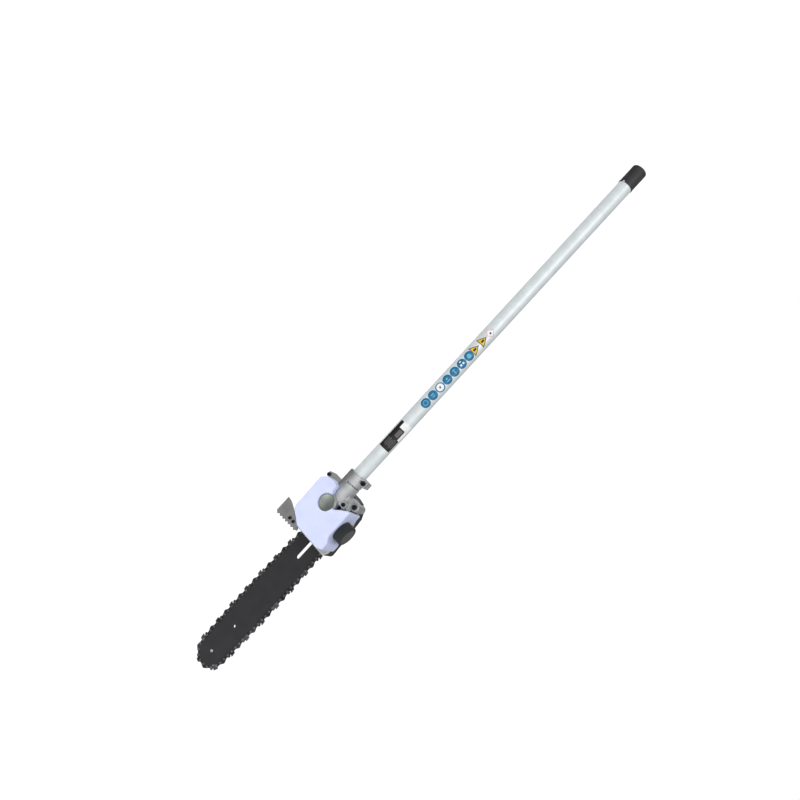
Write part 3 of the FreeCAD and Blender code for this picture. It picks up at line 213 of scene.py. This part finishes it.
SATIN_TUBE = metal(
    "satin_tube", (0.66, 0.71, 0.72), (0.74, 0.79, 0.80), rough=(0.44, 0.54), grain=1500,
    stretch=(0.03, 1, 1), bump=0.00001, metallic=0.35
)
CASTING = metal(
    "die_casting", (0.50, 0.51, 0.52), (0.60, 0.61, 0.62), rough=(0.46, 0.62), grain=1600,
    bump=0.00006, wear=(0.78, 0.79, 0.80)
)
DISC = metal(
    "pressed_cap", (0.34, 0.37, 0.34), (0.42, 0.45, 0.41), rough=(0.36, 0.48), wear=(0.62, 0.65, 0.62)
)
STEEL = metal("ground_steel", (0.42, 0.42, 0.43), (0.52, 0.52, 0.53), rough=(0.2, 0.34))
GEAR_STEEL = metal(
    "gear_steel", (0.30, 0.30, 0.31), (0.40, 0.40, 0.41), rough=(0.28, 0.42), wear=(0.65, 0.65, 0.65)
)
CHROME = metal(
    "cutter_chrome", (0.055, 0.055, 0.06), (0.11, 0.11, 0.115), rough=(0.32, 0.46), wear=(0.30, 0.30, 0.31)
)
LINK = metal(
    "oiled_link", (0.030, 0.030, 0.033), (0.070, 0.070, 0.075), rough=(0.34, 0.5), wear=(0.14, 0.14, 0.15)
)
RIVET = metal("bright_rivet", (0.12, 0.12, 0.125), (0.20, 0.20, 0.205), rough=(0.28, 0.4))
BAR_PAINT = plastic(
    "bar_paint", (0.022, 0.022, 0.024), (0.027, 0.027, 0.029), rough=(0.5, 0.6), grain=700,
    bump=0.00001, specular=0.25
)
BUMPER = metal(
    "bumper_steel", (0.36, 0.36, 0.36), (0.44, 0.44, 0.44), rough=(0.42, 0.56), wear=(0.6, 0.6, 0.6)
)
ZINC = metal("zinc_plate", (0.50, 0.50, 0.50), (0.62, 0.62, 0.62), rough=(0.28, 0.42), wear=(0.7, 0.7, 0.7))
BLACK_SCREW = metal(
    "black_oxide", (0.012, 0.012, 0.013), (0.03, 0.03, 0.032), rough=(0.3, 0.48), wear=(0.12, 0.12, 0.12)
)
CAP_PLASTIC = plastic("end_cap_plastic", (0.014, 0.014, 0.015), (0.026, 0.026, 0.028), rough=(0.38, 0.55))
OIL_CAP_PLASTIC = plastic(
    "oil_cap_plastic", (0.012, 0.015, 0.015), (0.022, 0.027, 0.026), rough=(0.40, 0.55)
)
# Painted light: a paler copy of the oil cap's dark plastic for its flat end, standing for the light that
# falls on that face from above.
CAP_FACE_PAINTED_LIGHT = plastic("oil_cap_face_painted_light", (0.075, 0.077, 0.075), (0.098, 0.10, 0.097), rough=(0.42, 0.56))
COVER_PLASTIC = plastic("cover_plastic", (0.014, 0.014, 0.015), (0.026, 0.026, 0.028), rough=(0.42, 0.62))
RUBBER = plastic("rubber", (0.012, 0.012, 0.012), (0.022, 0.022, 0.022), rough=(0.6, 0.8), bump=0.00005)
BUSH = plastic("bush_plastic", (0.03, 0.03, 0.032), (0.05, 0.05, 0.052))
TANK = tank_plastic()
BLUE_FILM = printed_film("blue_film", (0.006, 0.15, 0.31))
PALE_FILM = printed_film("pale_film", (0.62, 0.80, 0.90))
SKY_FILM = printed_film("sky_film", (0.12, 0.46, 0.66))
WHITE_FILM = printed_film("white_film", (0.90, 0.91, 0.92))
YELLOW_FILM = printed_film("yellow_film", (0.78, 0.52, 0.02))
BLACK_FILM = printed_film("black_film", (0.006, 0.005, 0.005), rough=0.5)
PINK_FILM = printed_film("pink_film", (0.80, 0.42, 0.50))
GREY_FILM = printed_film("grey_film", (0.12, 0.11, 0.11))

FINISHES = {
    "drive_tube": SATIN_TUBE,
    "tube_end_cap": CAP_PLASTIC,
    "drive_shaft": STEEL,
    "shaft_bushes": BUSH,
    "bevel_pinion": GEAR_STEEL,
    "bevel_gear": GEAR_STEEL,
    "gear_case": CASTING,
    "bearing_carrier": CASTING,
    "pinion_bearings": STEEL,
    "pinion_snap_ring": GEAR_STEEL,
    "output_bearing_upper": STEEL,
    "output_bearing_lower": STEEL,
    "bearing_cap": DISC,
    "output_shaft": STEEL,
    "pump_worm": GEAR_STEEL,
    "pump_plunger": GEAR_STEEL,
    "pump_body": BUSH,
    "chain_drive_links": LINK,
    "chain_cutters_left": CHROME,
    "chain_cutters_right": CHROME,
    "chain_tie_straps": LINK,
    "chain_rivets": RIVET,
    "drive_sprocket": GEAR_STEEL,
    "nose_sprocket": GEAR_STEEL,
    "guide_bar": BAR_PAINT,
    "nose_rivet": ZINC,
    "sprocket_washer": ZINC,
    "retaining_clip": GEAR_STEEL,
    "bar_stud": ZINC,
    "bar_nut": ZINC,
    "tension_block": ZINC,
    "tension_screw": ZINC,
    "oil_tank": TANK,
    "oil_cap": OIL_CAP_PLASTIC,
    "cap_gasket": RUBBER,
    "oil_hose": RUBBER,
    "oil_filter": BUSH,
    "hose_grommet": RUBBER,
    "chain_cover": COVER_PLASTIC,
    "spiked_bumper": BUMPER,
    "bumper_screws": BLACK_SCREW,
    "clamp_screw": BLACK_SCREW,
    "locating_screw": BLACK_SCREW,
    "case_screw": BLACK_SCREW,
    "cover_lug_screw": ZINC,
    "rating_label": BLACK_FILM,
    "warning_stickers": BLUE_FILM,
}
for node_name, finish in FINISHES.items():
    for material_slot in nodes[node_name].material_slots:
        material_slot.material = finish


# ---------------------------------------------------------------- finer pieces


def link_piece(name, mesh, body, material, slot, *replaced):
    piece = bpy.data.objects.new(name, mesh)
    bpy.context.scene.collection.objects.link(piece)
    mesh.materials.clear()
    mesh.materials.append(material)
    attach(piece, body)
    if replaced:
        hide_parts(*replaced)
    return piece


def applied(piece, *modifiers):
    """Applies modifiers, each given as (type, settings), by evaluating the piece to a new mesh."""
    for kind, settings in modifiers:
        modifier = piece.modifiers.new(kind.lower(), kind)
        for setting, value in settings.items():
            setattr(modifier, setting, value)
    graph = bpy.context.evaluated_depsgraph_get()
    mesh = bpy.data.meshes.new_from_object(piece.evaluated_get(graph))
    piece.modifiers.clear()
    old = piece.data
    piece.data = mesh
    if old.users == 0:
        bpy.data.meshes.remove(old)


def smooth_shaded(mesh):
    for polygon in mesh.polygons:
        polygon.use_smooth = True


def sharp_above(mesh, degrees):
    """Smooth shading with edges kept crisp where the surface turns by more than some angle."""
    smooth_shaded(mesh)
    mesh.set_sharp_from_angle(angle=math.radians(degrees))


def softened(node_name, body, name, slot, voxel, passes, keep_faces):
    """A moulded or cast copy of a CAD node, its edges rounded by remeshing and smoothing."""
    mesh = nodes[node_name].data.copy()
    piece = link_piece(name, mesh, body, FINISHES[node_name], slot, node_name)
    applied(
        piece,
        ("REMESH", {"mode": "VOXEL", "voxel_size": voxel, "use_smooth_shade": True}),
        ("SMOOTH", {"factor": 0.5, "iterations": passes}),
        ("DECIMATE", {"ratio": keep_faces}),
    )
    smooth_shaded(piece.data)
    piece.data.materials.clear()
    piece.data.materials.append(FINISHES[node_name])


softened("gear_case", "head", "head_casting", "casting", 0.7 * MM, 3, 0.35)
softened("chain_cover", "head", "cover_shell", "cover_plastic", 0.9 * MM, 3, 0.35)


def mesh_from(name, points, faces):
    mesh = bpy.data.meshes.new(name)
    mesh.from_pydata([tuple(point) for point in points], [], faces)
    builder = bmesh.new()
    builder.from_mesh(mesh)
    bmesh.ops.remove_doubles(builder, verts=builder.verts, dist=1e-7)
    bmesh.ops.recalc_face_normals(builder, faces=builder.faces)
    builder.to_mesh(mesh)
    builder.free()
    return mesh


def prism(name, outline, low, high):
    """A solid from an outline of (x, z) about the output axis, in millimetres, between two heights in Y."""
    count = len(outline)
    points = [(GEAR_X + x * MM, y * MM, z * MM) for y in (low, high) for x, z in outline]
    faces = []
    for index in range(count):
        after = (index + 1) % count
        faces.append([index, after, count + after, count + index])
    faces += [list(range(count)), list(range(count, 2 * count))]
    return mesh_from(name, points, faces)


def lathed(name, profile, segments, place, closed=False, ripple=None):
    """A turned mesh about local Z. The profile is (radius, height); ripple varies a radius by angle."""
    points, faces = [], []
    for step in range(segments):
        angle = 2 * math.pi * step / segments
        for index, (radius, height) in enumerate(profile):
            if ripple:
                radius = ripple(index, radius, angle)
            points.append(place @ Vector((radius * math.cos(angle), radius * math.sin(angle), height)))
    count = len(profile)
    last = count if closed else count - 1
    for step in range(segments):
        here, following = step * count, (step + 1) % segments * count
        for index in range(last):
            after = (index + 1) % count
            faces.append([here + index, following + index, following + after, here + after])
    return mesh_from(name, points, faces)


def cylinder_tool(name, axis, radius, start, length, centre):
    """A cylinder to cut with, from a start along one axis; all in millimetres about the output axis."""
    turns = {"x": Matrix.Rotation(math.pi / 2, 4, "Y"), "y": Matrix.Rotation(-math.pi / 2, 4, "X")}
    along = {"x": Vector((1, 0, 0)), "y": Vector((0, 1, 0))}[axis]
    base = (Vector(centre) + along * start) * MM + Vector((GEAR_X, 0, 0))
    profile = [(0, 0), (radius * MM, 0), (radius * MM, length * MM), (0, length * MM)]
    return lathed(name, profile, 64, Matrix.Translation(base) @ turns[axis])


def box_tool(name, low, high):
    outline = [(low[0], low[2]), (high[0], low[2]), (high[0], high[2]), (low[0], high[2])]
    return prism(name, outline, low[1], high[1])


def carve(piece, meshes):
    """Cuts each tool's mesh out of the piece, then throws the tools away."""
    tools = []
    for mesh in meshes:
        tool = bpy.data.objects.new(mesh.name, mesh)
        bpy.context.scene.collection.objects.link(tool)
        tools.append(tool)
    cuts = [("BOOLEAN", {"operation": "DIFFERENCE", "solver": "EXACT", "object": tool}) for tool in tools]
    applied(piece, *cuts)
    for tool in tools:
        bpy.data.meshes.remove(tool.data)


def oil_tank():
    """The blow-moulded tank: a block with large soft radii, then cleared round disc, clamp, ear and lugs."""
    outline = [
        (63, -10), (47, -36), (39, -38.5), (-22, -39.5), (-32, -30), (-34.5, -16), (-31, -5), (-19, -4),
        (1, 17), (-6, 25), (-17, 40), (-17, 45), (34, 45), (39, 47.2), (42, 50), (45, 52), (58, 52), (63, 43),
    ]  # fmt: skip
    block = prism("tank_shell", outline, -30, 19.7)
    piece = link_piece("tank_shell", block, "head", TANK, "tank_plastic", "oil_tank")
    applied(
        piece,
        ("REMESH", {"mode": "VOXEL", "voxel_size": 1.4 * MM}),
        ("SMOOTH", {"factor": 0.5, "iterations": 14}),
        ("SUBSURF", {"levels": 1}),
    )
    gap, deep = 0.7, 60
    disc_hole, boss_radius, chamber_radius, clamp_radius = 15.1, 16.5, 23, 18
    boss_top, chamber_top = -24.6, -8.7
    carve(
        piece,
        [
            cylinder_tool("disc_room", "y", disc_hole, -40, 80, (0, 0, 0)),
            cylinder_tool("boss_room", "y", boss_radius + gap, boss_top, deep, (0, 0, 0)),
            cylinder_tool("chamber_room", "y", chamber_radius + gap, chamber_top, 40, (0, 0, 0)),
            cylinder_tool("clamp_room", "x", clamp_radius + gap, -72, 70, (0, 0, 0)),
            box_tool("ear_room", (-deep, -13 - gap, 2), (-9 + gap, 40, 26 + gap)),
            box_tool("web_room", (-deep, -8 - gap, 0), (-11 + gap, 40, 34 + gap)),
            box_tool("lug_room", (-deep, -9 - gap, 20), (-17.5 + gap, 40, 60)),
            box_tool("rear_room", (-deep, -4 - gap, -deep), (-28 + gap, 40, -19 + gap)),
        ],
    )
    applied(
        piece,
        ("REMESH", {"mode": "VOXEL", "voxel_size": 0.9 * MM}),
        ("SMOOTH", {"factor": 0.5, "iterations": 4}),
        ("DECIMATE", {"ratio": 0.5}),
    )
    smooth_shaded(piece.data)
    piece.data.materials.clear()
    piece.data.materials.append(TANK)


def filler_neck():
    """The tank's round neck, which shows when the cap is lifted."""
    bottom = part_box("oil_cap")[0].z - 1.5 * MM
    place = Matrix.Translation((CAP_CENTRE.x, CAP_CENTRE.y, bottom))
    profile = [(11.3, 0), (14.6, 0), (14, 0.9), (13.4, 1.6), (13.4, 6.9), (12.9, 7.5), (11.8, 7.5), (11.3, 7)]
    profile = [(radius * MM, height * MM) for radius, height in profile]
    mesh = lathed("filler_neck", profile, 72, place, closed=True)
    sharp_above(mesh, 40)
    link_piece("filler_neck", mesh, "head", TANK, "tank_plastic")


def oil_cap():
    """The screw cap: fine grip ribs round its skirt, and a flat end inside a low rim, that end given a paler
    copy of the cap plastic as painted light from above.
    """
    low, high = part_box("oil_cap")
    outer = (high.x - low.x) / 2
    height = high.z - low.z
    place = Matrix.Translation((CAP_CENTRE.x, CAP_CENTRE.y, low.z))
    ribs = 44
    skirt_inner, skirt_depth, rib_depth = 13.9 * MM, 7.9 * MM, 1.1 * MM
    profile = [
        (0, skirt_depth),
        (skirt_inner, skirt_depth),
        (skirt_inner, 0),
        (outer - 0.9 * MM, 0),
        (outer - 0.2 * MM, 0.7 * MM),
        (outer - 0.2 * MM, 1.8 * MM),
        (outer - 0.1 * MM, 2.2 * MM),
        (outer - 0.1 * MM, height - 2.0 * MM),
        (outer - 0.5 * MM, height - 0.8 * MM),
        (outer - 1.3 * MM, height - 0.15 * MM),
        (outer - 2.4 * MM, height),
        (outer - 3.4 * MM, height),
        (outer - 3.9 * MM, height - 0.5 * MM),
        (0, height - 0.5 * MM),
    ]

    def ripple(index, radius, angle):
        if index in (6, 7):
            return radius - rib_depth * max(0, math.cos(ribs * angle)) ** 2
        return radius

    mesh = lathed("oil_cap_ribbed", profile, ribs * 8, place, ripple=ripple)
    sharp_above(mesh, 35)
    link_piece("oil_cap_ribbed", mesh, "filler_cap", OIL_CAP_PLASTIC, "oil_cap_plastic", "oil_cap")
    # The flat end takes the paler copy of the cap plastic, which is painted light.
    face_profile = [(0, height - 0.7 * MM), (outer - 3.5 * MM, height - 0.7 * MM)]
    face_profile += [(outer - 3.5 * MM, height - 0.45 * MM), (0, height - 0.45 * MM)]
    face = lathed("oil_cap_face_painted_light", face_profile, 96, place)
    sharp_above(face, 35)
    link_piece("oil_cap_face_painted_light", face, "filler_cap", CAP_FACE_PAINTED_LIGHT, "oil_cap_plastic")


def bearing_disc():
    """The pressed cap over the upper bearing: a dished face inside a rounded rim."""
    radius = (disc_high.x - disc_low.x) / 2
    top = disc_low.y
    turn = Matrix.Rotation(math.pi / 2, 4, "X")
    place = Matrix.Translation((GEAR_X, disc_high.y, 0)) @ turn
    height = disc_high.y - top
    profile = [
        (0, 0),
        (radius - 0.2 * MM, 0),
        (radius, 0.2 * MM),
        (radius, height - 0.7 * MM),
        (radius - 0.3 * MM, height - 0.2 * MM),
        (radius - 0.8 * MM, height),
        (radius - 1.4 * MM, height - 0.1 * MM),
        (radius - 2.2 * MM, height - 0.6 * MM),
        (0, height - 0.6 * MM),
    ]
    mesh = lathed("bearing_disc", profile, 96, place)
    sharp_above(mesh, 40)
    link_piece("bearing_disc", mesh, "head", DISC, "disc_metal", "bearing_cap")


def end_cap():
    """The push-on cap: rounded end, a notched raised band at its mouth and shallow grip lines."""
    low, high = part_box("tube_end_cap")
    length = high.x - low.x
    outer = (high.z - low.z) / 2
    place = Matrix.Translation((high.x, 0, 0)) @ Matrix.Rotation(-math.pi / 2, 4, "Y")
    inner = TUBE_RADIUS + 0.06 * MM
    band = 3.2 * MM
    body_radius = outer - 0.35 * MM
    profile = [(0, length - 2 * MM), (inner, length - 2 * MM), (inner, 0), (outer - 0.3 * MM, 0)]
    profile += [(outer, 0.4 * MM), (outer, band - 0.4 * MM), (body_radius, band)]
    for groove in (11 * MM, 14 * MM):
        profile += [(body_radius, groove), (body_radius - 0.35 * MM, groove + 0.3 * MM)]
        profile += [(body_radius - 0.35 * MM, groove + 0.9 * MM), (body_radius, groove + 1.2 * MM)]
    corner, corner_steps = 2.2 * MM, 6
    for step in range(corner_steps + 1):
        angle = math.radians(90 / corner_steps * step)
        rise = length - corner + corner * math.sin(angle)
        profile.append((body_radius - corner + corner * math.cos(angle), rise))
    profile.append((0, length))
    mesh = lathed("end_cap_moulding", profile, 96, place)
    sharp_above(mesh, 35)
    piece = link_piece("end_cap_moulding", mesh, "end_cap", CAP_PLASTIC, "cap_plastic", "tube_end_cap")
    notch_radius, notch_x, notch_z = 2.6, (high.x - GEAR_X) / MM - 0.6, -3.6
    carve(piece, [cylinder_tool("mouth_notch", "y", notch_radius, -20, 20, (notch_x, 0, notch_z))])


def hexagon_screw(node_name, slot, head_height):
    """A cap screw with a knurled head and a hexagon socket, where the CAD screw is."""
    low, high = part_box(node_name)
    radius = (high.x - low.x) / 2
    centre = (low + high) / 2
    place = Matrix.Translation((centre.x, low.y, centre.z)) @ Matrix.Rotation(-math.pi / 2, 4, "X")
    shank = radius * 0.57
    socket = radius * 0.52
    end = high.y - low.y
    profile = [
        (0, end),
        (shank - 0.3 * MM, end),
        (shank, end - 0.4 * MM),
        (shank, head_height),
        (radius, head_height),
        (radius, 0.5 * MM),
        (radius - 0.5 * MM, 0),
        (socket * 1.12, 0),
        (socket, 0.25 * MM),
        (socket, head_height * 0.55),
        (0, head_height * 0.55),
    ]
    hexagon_rows = (8, 9)

    def ripple(index, size, angle):
        if index in hexagon_rows:
            sector = angle % (math.pi / 3) - math.pi / 6
            return size * math.cos(math.pi / 6) / math.cos(sector)
        if index in (4, 5):
            return size - 0.16 * MM * max(0, math.cos(30 * angle))
        return size

    mesh = lathed(node_name + "_socket_head", profile, 180, place, ripple=ripple)
    sharp_above(mesh, 30)
    link_piece(node_name + "_socket_head", mesh, "head", BLACK_SCREW, slot, node_name)


oil_tank()
filler_neck()
oil_cap()
bearing_disc()
end_cap()
for screw_node, screw_head in (
    ("clamp_screw", 4.2 * MM),
    ("locating_screw", 3 * MM),
    ("case_screw", 4.2 * MM),
    ("cover_lug_screw", 3.4 * MM),
):
    hexagon_screw(screw_node, "black_screw", screw_head)

# ---------------------------------------------------------------- label and stickers

FILM_TURN = math.radians(21)
STICKER_START, STICKER_PITCH, STICKER_RADIUS = 233.7, 17.95, 9.25
TRIANGLE_START, TRIANGLE_PITCH = 357.4, 19.4
DIAMOND_AT, LABEL_AT = 393.8, 158


def film(name, material, slot, distance, outline, level=0, offset=(0, 0), replaced=()):
    """Thin film wrapped on the tube. The outline is (along the tube, round it) in millimetres from the
    film's centre, which lies a distance behind the output axis; higher levels lie on lower ones."""
    top = TUBE_RADIUS + (0.08 + 0.05 * level) * MM
    bottom = TUBE_RADIUS - 0.05 * MM
    rings = 6
    points, faces = [], []

    def on_tube(along, around, radius):
        angle = FILM_TURN + around * MM / TUBE_RADIUS
        x = GEAR_X - distance * MM + along * MM
        return (x, -radius * math.cos(angle), radius * math.sin(angle))

    middle = [sum(corner[axis] for corner in outline) / len(outline) for axis in (0, 1)]
    count = len(outline)
    for radius in (top, bottom):
        points.append(on_tube(middle[0] + offset[0], middle[1] + offset[1], radius))
        for ring in range(1, rings + 1):
            for along, around in outline:
                part = ring / rings
                across = middle[0] + (along - middle[0]) * part + offset[0]
                up = middle[1] + (around - middle[1]) * part + offset[1]
                points.append(on_tube(across, up, radius))
    layer = 1 + rings * count
    for start in (0, layer):
        for index in range(count):
            after = (index + 1) % count
            faces.append([start, start + 1 + index, start + 1 + after])
            for ring in range(rings - 1):
                inner, outer = start + 1 + ring * count, start + 1 + (ring + 1) * count
                faces.append([inner + index, outer + index, outer + after, inner + after])
    rim = 1 + (rings - 1) * count
    for index in range(count):
        after = (index + 1) % count
        faces.append([rim + index, rim + after, layer + rim + after, layer + rim + index])
    mesh = mesh_from(name, points, faces)
    link_piece(name, mesh, "head", material, slot, *replaced)


def edged(corners, step=1.5):
    """The corners with points added along each side, so that film bends smoothly round the tube."""
    points = []
    for index, (x, y) in enumerate(corners):
        next_x, next_y = corners[(index + 1) % len(corners)]
        pieces = max(1, round(math.hypot(next_x - x, next_y - y) / step))
        for part in range(pieces):
            points.append((x + (next_x - x) * part / pieces, y + (next_y - y) * part / pieces))
    return points


def disc(radius):
    count = 40
    turns = [2 * math.pi * index / count for index in range(count)]
    return [(radius * math.cos(turn), radius * math.sin(turn)) for turn in turns]


def rectangle(length, width):
    half, tall = length / 2, width / 2
    return edged([(-half, -tall), (half, -tall), (half, tall), (-half, tall)])


def triangle(reach, side):
    return edged([(-reach, 0), (reach, -side), (reach, side)], 1.2)


def diamond(size):
    return edged([(-size, 0), (0, -size), (size, 0), (0, size)], 1.2)


def round_stickers():
    """Seven blue discs with a pale rim and plain shapes in white or pale blue: rings, dots and bars."""
    marks = [
        [("ring", 4.6), ("blue", 3.4)],
        [("bar", 6.5, 2.2, -1.8), ("bar", 5.0, 1.8, 2.2)],
        [("ring", 6.6), ("bluebar", 3.4, 3.4, 0)],
        [("bar", 7.0, 1.6, 2.8), ("bar", 4.2, 2.6, -1.4)],
        [("bar", 2.0, 8.6, 0), ("bar", 6.4, 1.8, -2.8)],
        [("bar", 9.0, 3.2, 1.0), ("bluebar", 2.2, 3.2, 1.0), ("bar", 3.0, 2.0, -4.4)],
        [("ring", 4.0)],
    ]
    for index, shapes in enumerate(marks):
        distance = STICKER_START + STICKER_PITCH * index
        number = index + 1
        replaced = ("warning_stickers",) if index == 0 else ()
        rim = disc(STICKER_RADIUS)
        film(f"sticker_rim_{number}", PALE_FILM, "sticker_film", distance, rim, 0, replaced=replaced)
        film(f"sticker_disc_{number}", BLUE_FILM, "sticker_film", distance, disc(STICKER_RADIUS - 0.55), 1)
        for order, shape in enumerate(shapes):
            kind = shape[0]
            outline = disc(shape[1]) if kind in ("ring", "blue") else rectangle(shape[1], shape[2])
            light = WHITE_FILM if number in (3, 6) else SKY_FILM
            ink = BLUE_FILM if kind.startswith("blue") else light
            shift = (0, shape[3]) if len(shape) > 3 else (0, 0)
            film(f"sticker_mark_{number}_{order}", ink, "sticker_film", distance, outline, 2 + order, shift)


def corner_stickers():
    """Two yellow triangles with dark borders and a dark block, and a pink and white diamond."""
    for index in range(2):
        distance = TRIANGLE_START + TRIANGLE_PITCH * index
        film(f"triangle_border_{index}", BLACK_FILM, "sticker_film", distance, triangle(8.0, 9.6), 0)
        film(f"triangle_face_{index}", YELLOW_FILM, "sticker_film", distance, triangle(6.2, 7.5), 1, (0.6, 0))
        film(f"triangle_mark_{index}", BLACK_FILM, "sticker_film", distance, rectangle(6.4, 3.2), 2, (1.8, 0))
    film("diamond_border", PINK_FILM, "sticker_film", DIAMOND_AT, diamond(8.6), 0)
    film("diamond_face", WHITE_FILM, "sticker_film", DIAMOND_AT, diamond(6.6), 1)
    film("diamond_mark", BLACK_FILM, "sticker_film", DIAMOND_AT, diamond(2.2), 2, (0, 0.8))


def rating_label():
    """A black plate with an L of white at its far end, a plain grey field and rows of grey bars."""
    length, width = 57.2, 26
    first_bar, bar_pitch, bar_height = 8, 3.6, 1.7
    shapes = [
        ("edge", WHITE_FILM, (length, width), 0, (0, 0)),
        ("face", BLACK_FILM, (length - 0.8, width - 1.4), 1, (0.2, -0.3)),
        ("block", WHITE_FILM, (12, 17), 2, (-22, 3.6)),
        ("foot", WHITE_FILM, (20, 4.6), 2, (-6.4, 9.8)),
        ("field", GREY_FILM, (14, 7.5), 2, (-6.5, 1.4)),
    ]
    for row, span in enumerate((15, 18, 12, 17, 14)):
        shift = (14, first_bar - bar_pitch * row)
        shapes.append((f"bar_{row}", GREY_FILM, (span, bar_height), 2, shift))
    for name, ink, size, level, shift in shapes:
        replaced = ("rating_label",) if name == "edge" else ()
        film(f"label_{name}", ink, "label_film", LABEL_AT, rectangle(*size), level, shift, replaced)


round_stickers()
corner_stickers()
rating_label()

# ---------------------------------------------------------------- stage, light and camera


def studio_world():
    """A white backdrop; what lights the part is brighter above and in front, and dimmer elsewhere."""
    world = bpy.data.worlds.new("studio")
    bpy.context.scene.world = world
    world.use_nodes = True
    tree = world.node_tree
    background = tree.nodes["Background"]
    place = tree.nodes.new("ShaderNodeTexCoord")
    toward = tree.nodes.new("ShaderNodeVectorMath")
    toward.operation = "DOT_PRODUCT"
    tree.links.new(place.outputs["Generated"], toward.inputs[0])
    toward.inputs[1].default_value = Vector((-0.15, -0.62, 0.77)).normalized()
    lit = remap(tree, toward.outputs["Value"], -0.35, 0.95, 0.23, 0.76)
    path = tree.nodes.new("ShaderNodeLightPath")
    seen = tree.nodes.new("ShaderNodeMix")
    tree.links.new(path.outputs["Is Camera Ray"], seen.inputs["Factor"])
    tree.links.new(lit, seen.inputs[2])
    seen.inputs[3].default_value = 1.0
    tree.links.new(seen.outputs[0], background.inputs["Strength"])
    background.inputs["Color"].default_value = (1, 1, 1, 1)


def dark_flag():
    """A dark card under the part, seen only in reflections, which shades the metal's lower edges."""
    mesh = bpy.data.meshes.new("flag")
    builder = bmesh.new()
    bmesh.ops.create_grid(builder, x_segments=1, y_segments=1, size=1.4)
    builder.to_mesh(mesh)
    builder.free()
    flag = bpy.data.objects.new("flag", mesh)
    bpy.context.scene.collection.objects.link(flag)
    flag.location = (GEAR_X * 0.6, -0.2, -0.5)
    material, tree, shader, place = new_material("flag_cloth")
    weave = noise(tree, place, 400)
    cloth = blend_colors(tree, weave, (0.22, 0.22, 0.22), (0.30, 0.30, 0.30))
    tree.links.new(cloth, shader.inputs["Base Color"])
    mesh.materials.append(material)
    flag.visible_camera = False
    flag.visible_diffuse = False
    flag.visible_shadow = False


def pale_floor():
    """A round floor far below the part, which glows into the white of the background."""
    mesh = bpy.data.meshes.new("floor")
    builder = bmesh.new()
    bmesh.ops.create_circle(builder, cap_ends=True, segments=96, radius=9)
    builder.to_mesh(mesh)
    builder.free()
    floor = bpy.data.objects.new("floor", mesh)
    bpy.context.scene.collection.objects.link(floor)
    floor.location = (GEAR_X * 0.6, 0, -0.9)
    material, tree, shader, place = new_material("pale_floor")
    shader.inputs["Roughness"].default_value = 0.9
    shader.inputs["Specular IOR Level"].default_value = 0.1
    cloud = noise(tree, place, 4)
    tone = blend_colors(tree, cloud, (0.95, 0.95, 0.95), (0.97, 0.97, 0.97))
    tree.links.new(tone, shader.inputs["Base Color"])
    shader.inputs["Emission Color"].default_value = (1, 1, 1, 1)
    shader.inputs["Emission Strength"].default_value = 0.5
    mesh.materials.append(material)


def softbox(name, position, target, size, power):
    data = bpy.data.lights.new(name, "AREA")
    data.shape = "RECTANGLE"
    data.size, data.size_y = size
    data.energy = power
    lamp = bpy.data.objects.new(name, data)
    bpy.context.scene.collection.objects.link(lamp)
    lamp.location = position
    lamp.rotation_euler = (Vector(target) - Vector(position)).to_track_quat("-Z", "Y").to_euler()


def photo_camera():
    """The camera stands off the tank's side, a little towards the filler, rolled so the bar hangs down."""
    elevation = math.radians(24.73)
    distance = 1.0914
    forward = Vector((0, math.cos(elevation), -math.sin(elevation)))
    upright = Vector((0, math.sin(elevation), math.cos(elevation)))
    pole_up = math.radians(47.4)
    right = Vector((-1, 0, 0)) * math.cos(pole_up) + upright * math.sin(pole_up)
    up = Vector((-1, 0, 0)) * math.sin(pole_up) - upright * math.cos(pole_up)
    target = Vector((GEAR_X - 0.2081, 0, 0)) - upright * 0.0362
    data = bpy.data.cameras.new("photo_camera")
    data.sensor_width = 36
    data.lens = 36 * 641 / 800
    camera = bpy.data.objects.new("photo_camera", data)
    bpy.context.scene.collection.objects.link(camera)
    turn = Matrix((right, up, -forward)).transposed().to_4x4()
    camera.matrix_world = Matrix.Translation(target - forward * distance) @ turn
    bpy.context.scene.camera = camera


studio_world()
pale_floor()
dark_flag()
head = (GEAR_X, 0, 0)
softbox("key", (GEAR_X - 0.9, -1.3, 1.3), (GEAR_X - 0.2, 0, 0), (1.2, 0.8), 10.5)
softbox("fill", (GEAR_X + 0.9, -1.2, 0.2), head, (0.9, 0.9), 4)
photo_camera()
bpy.context.scene.view_settings.view_transform = "Standard"
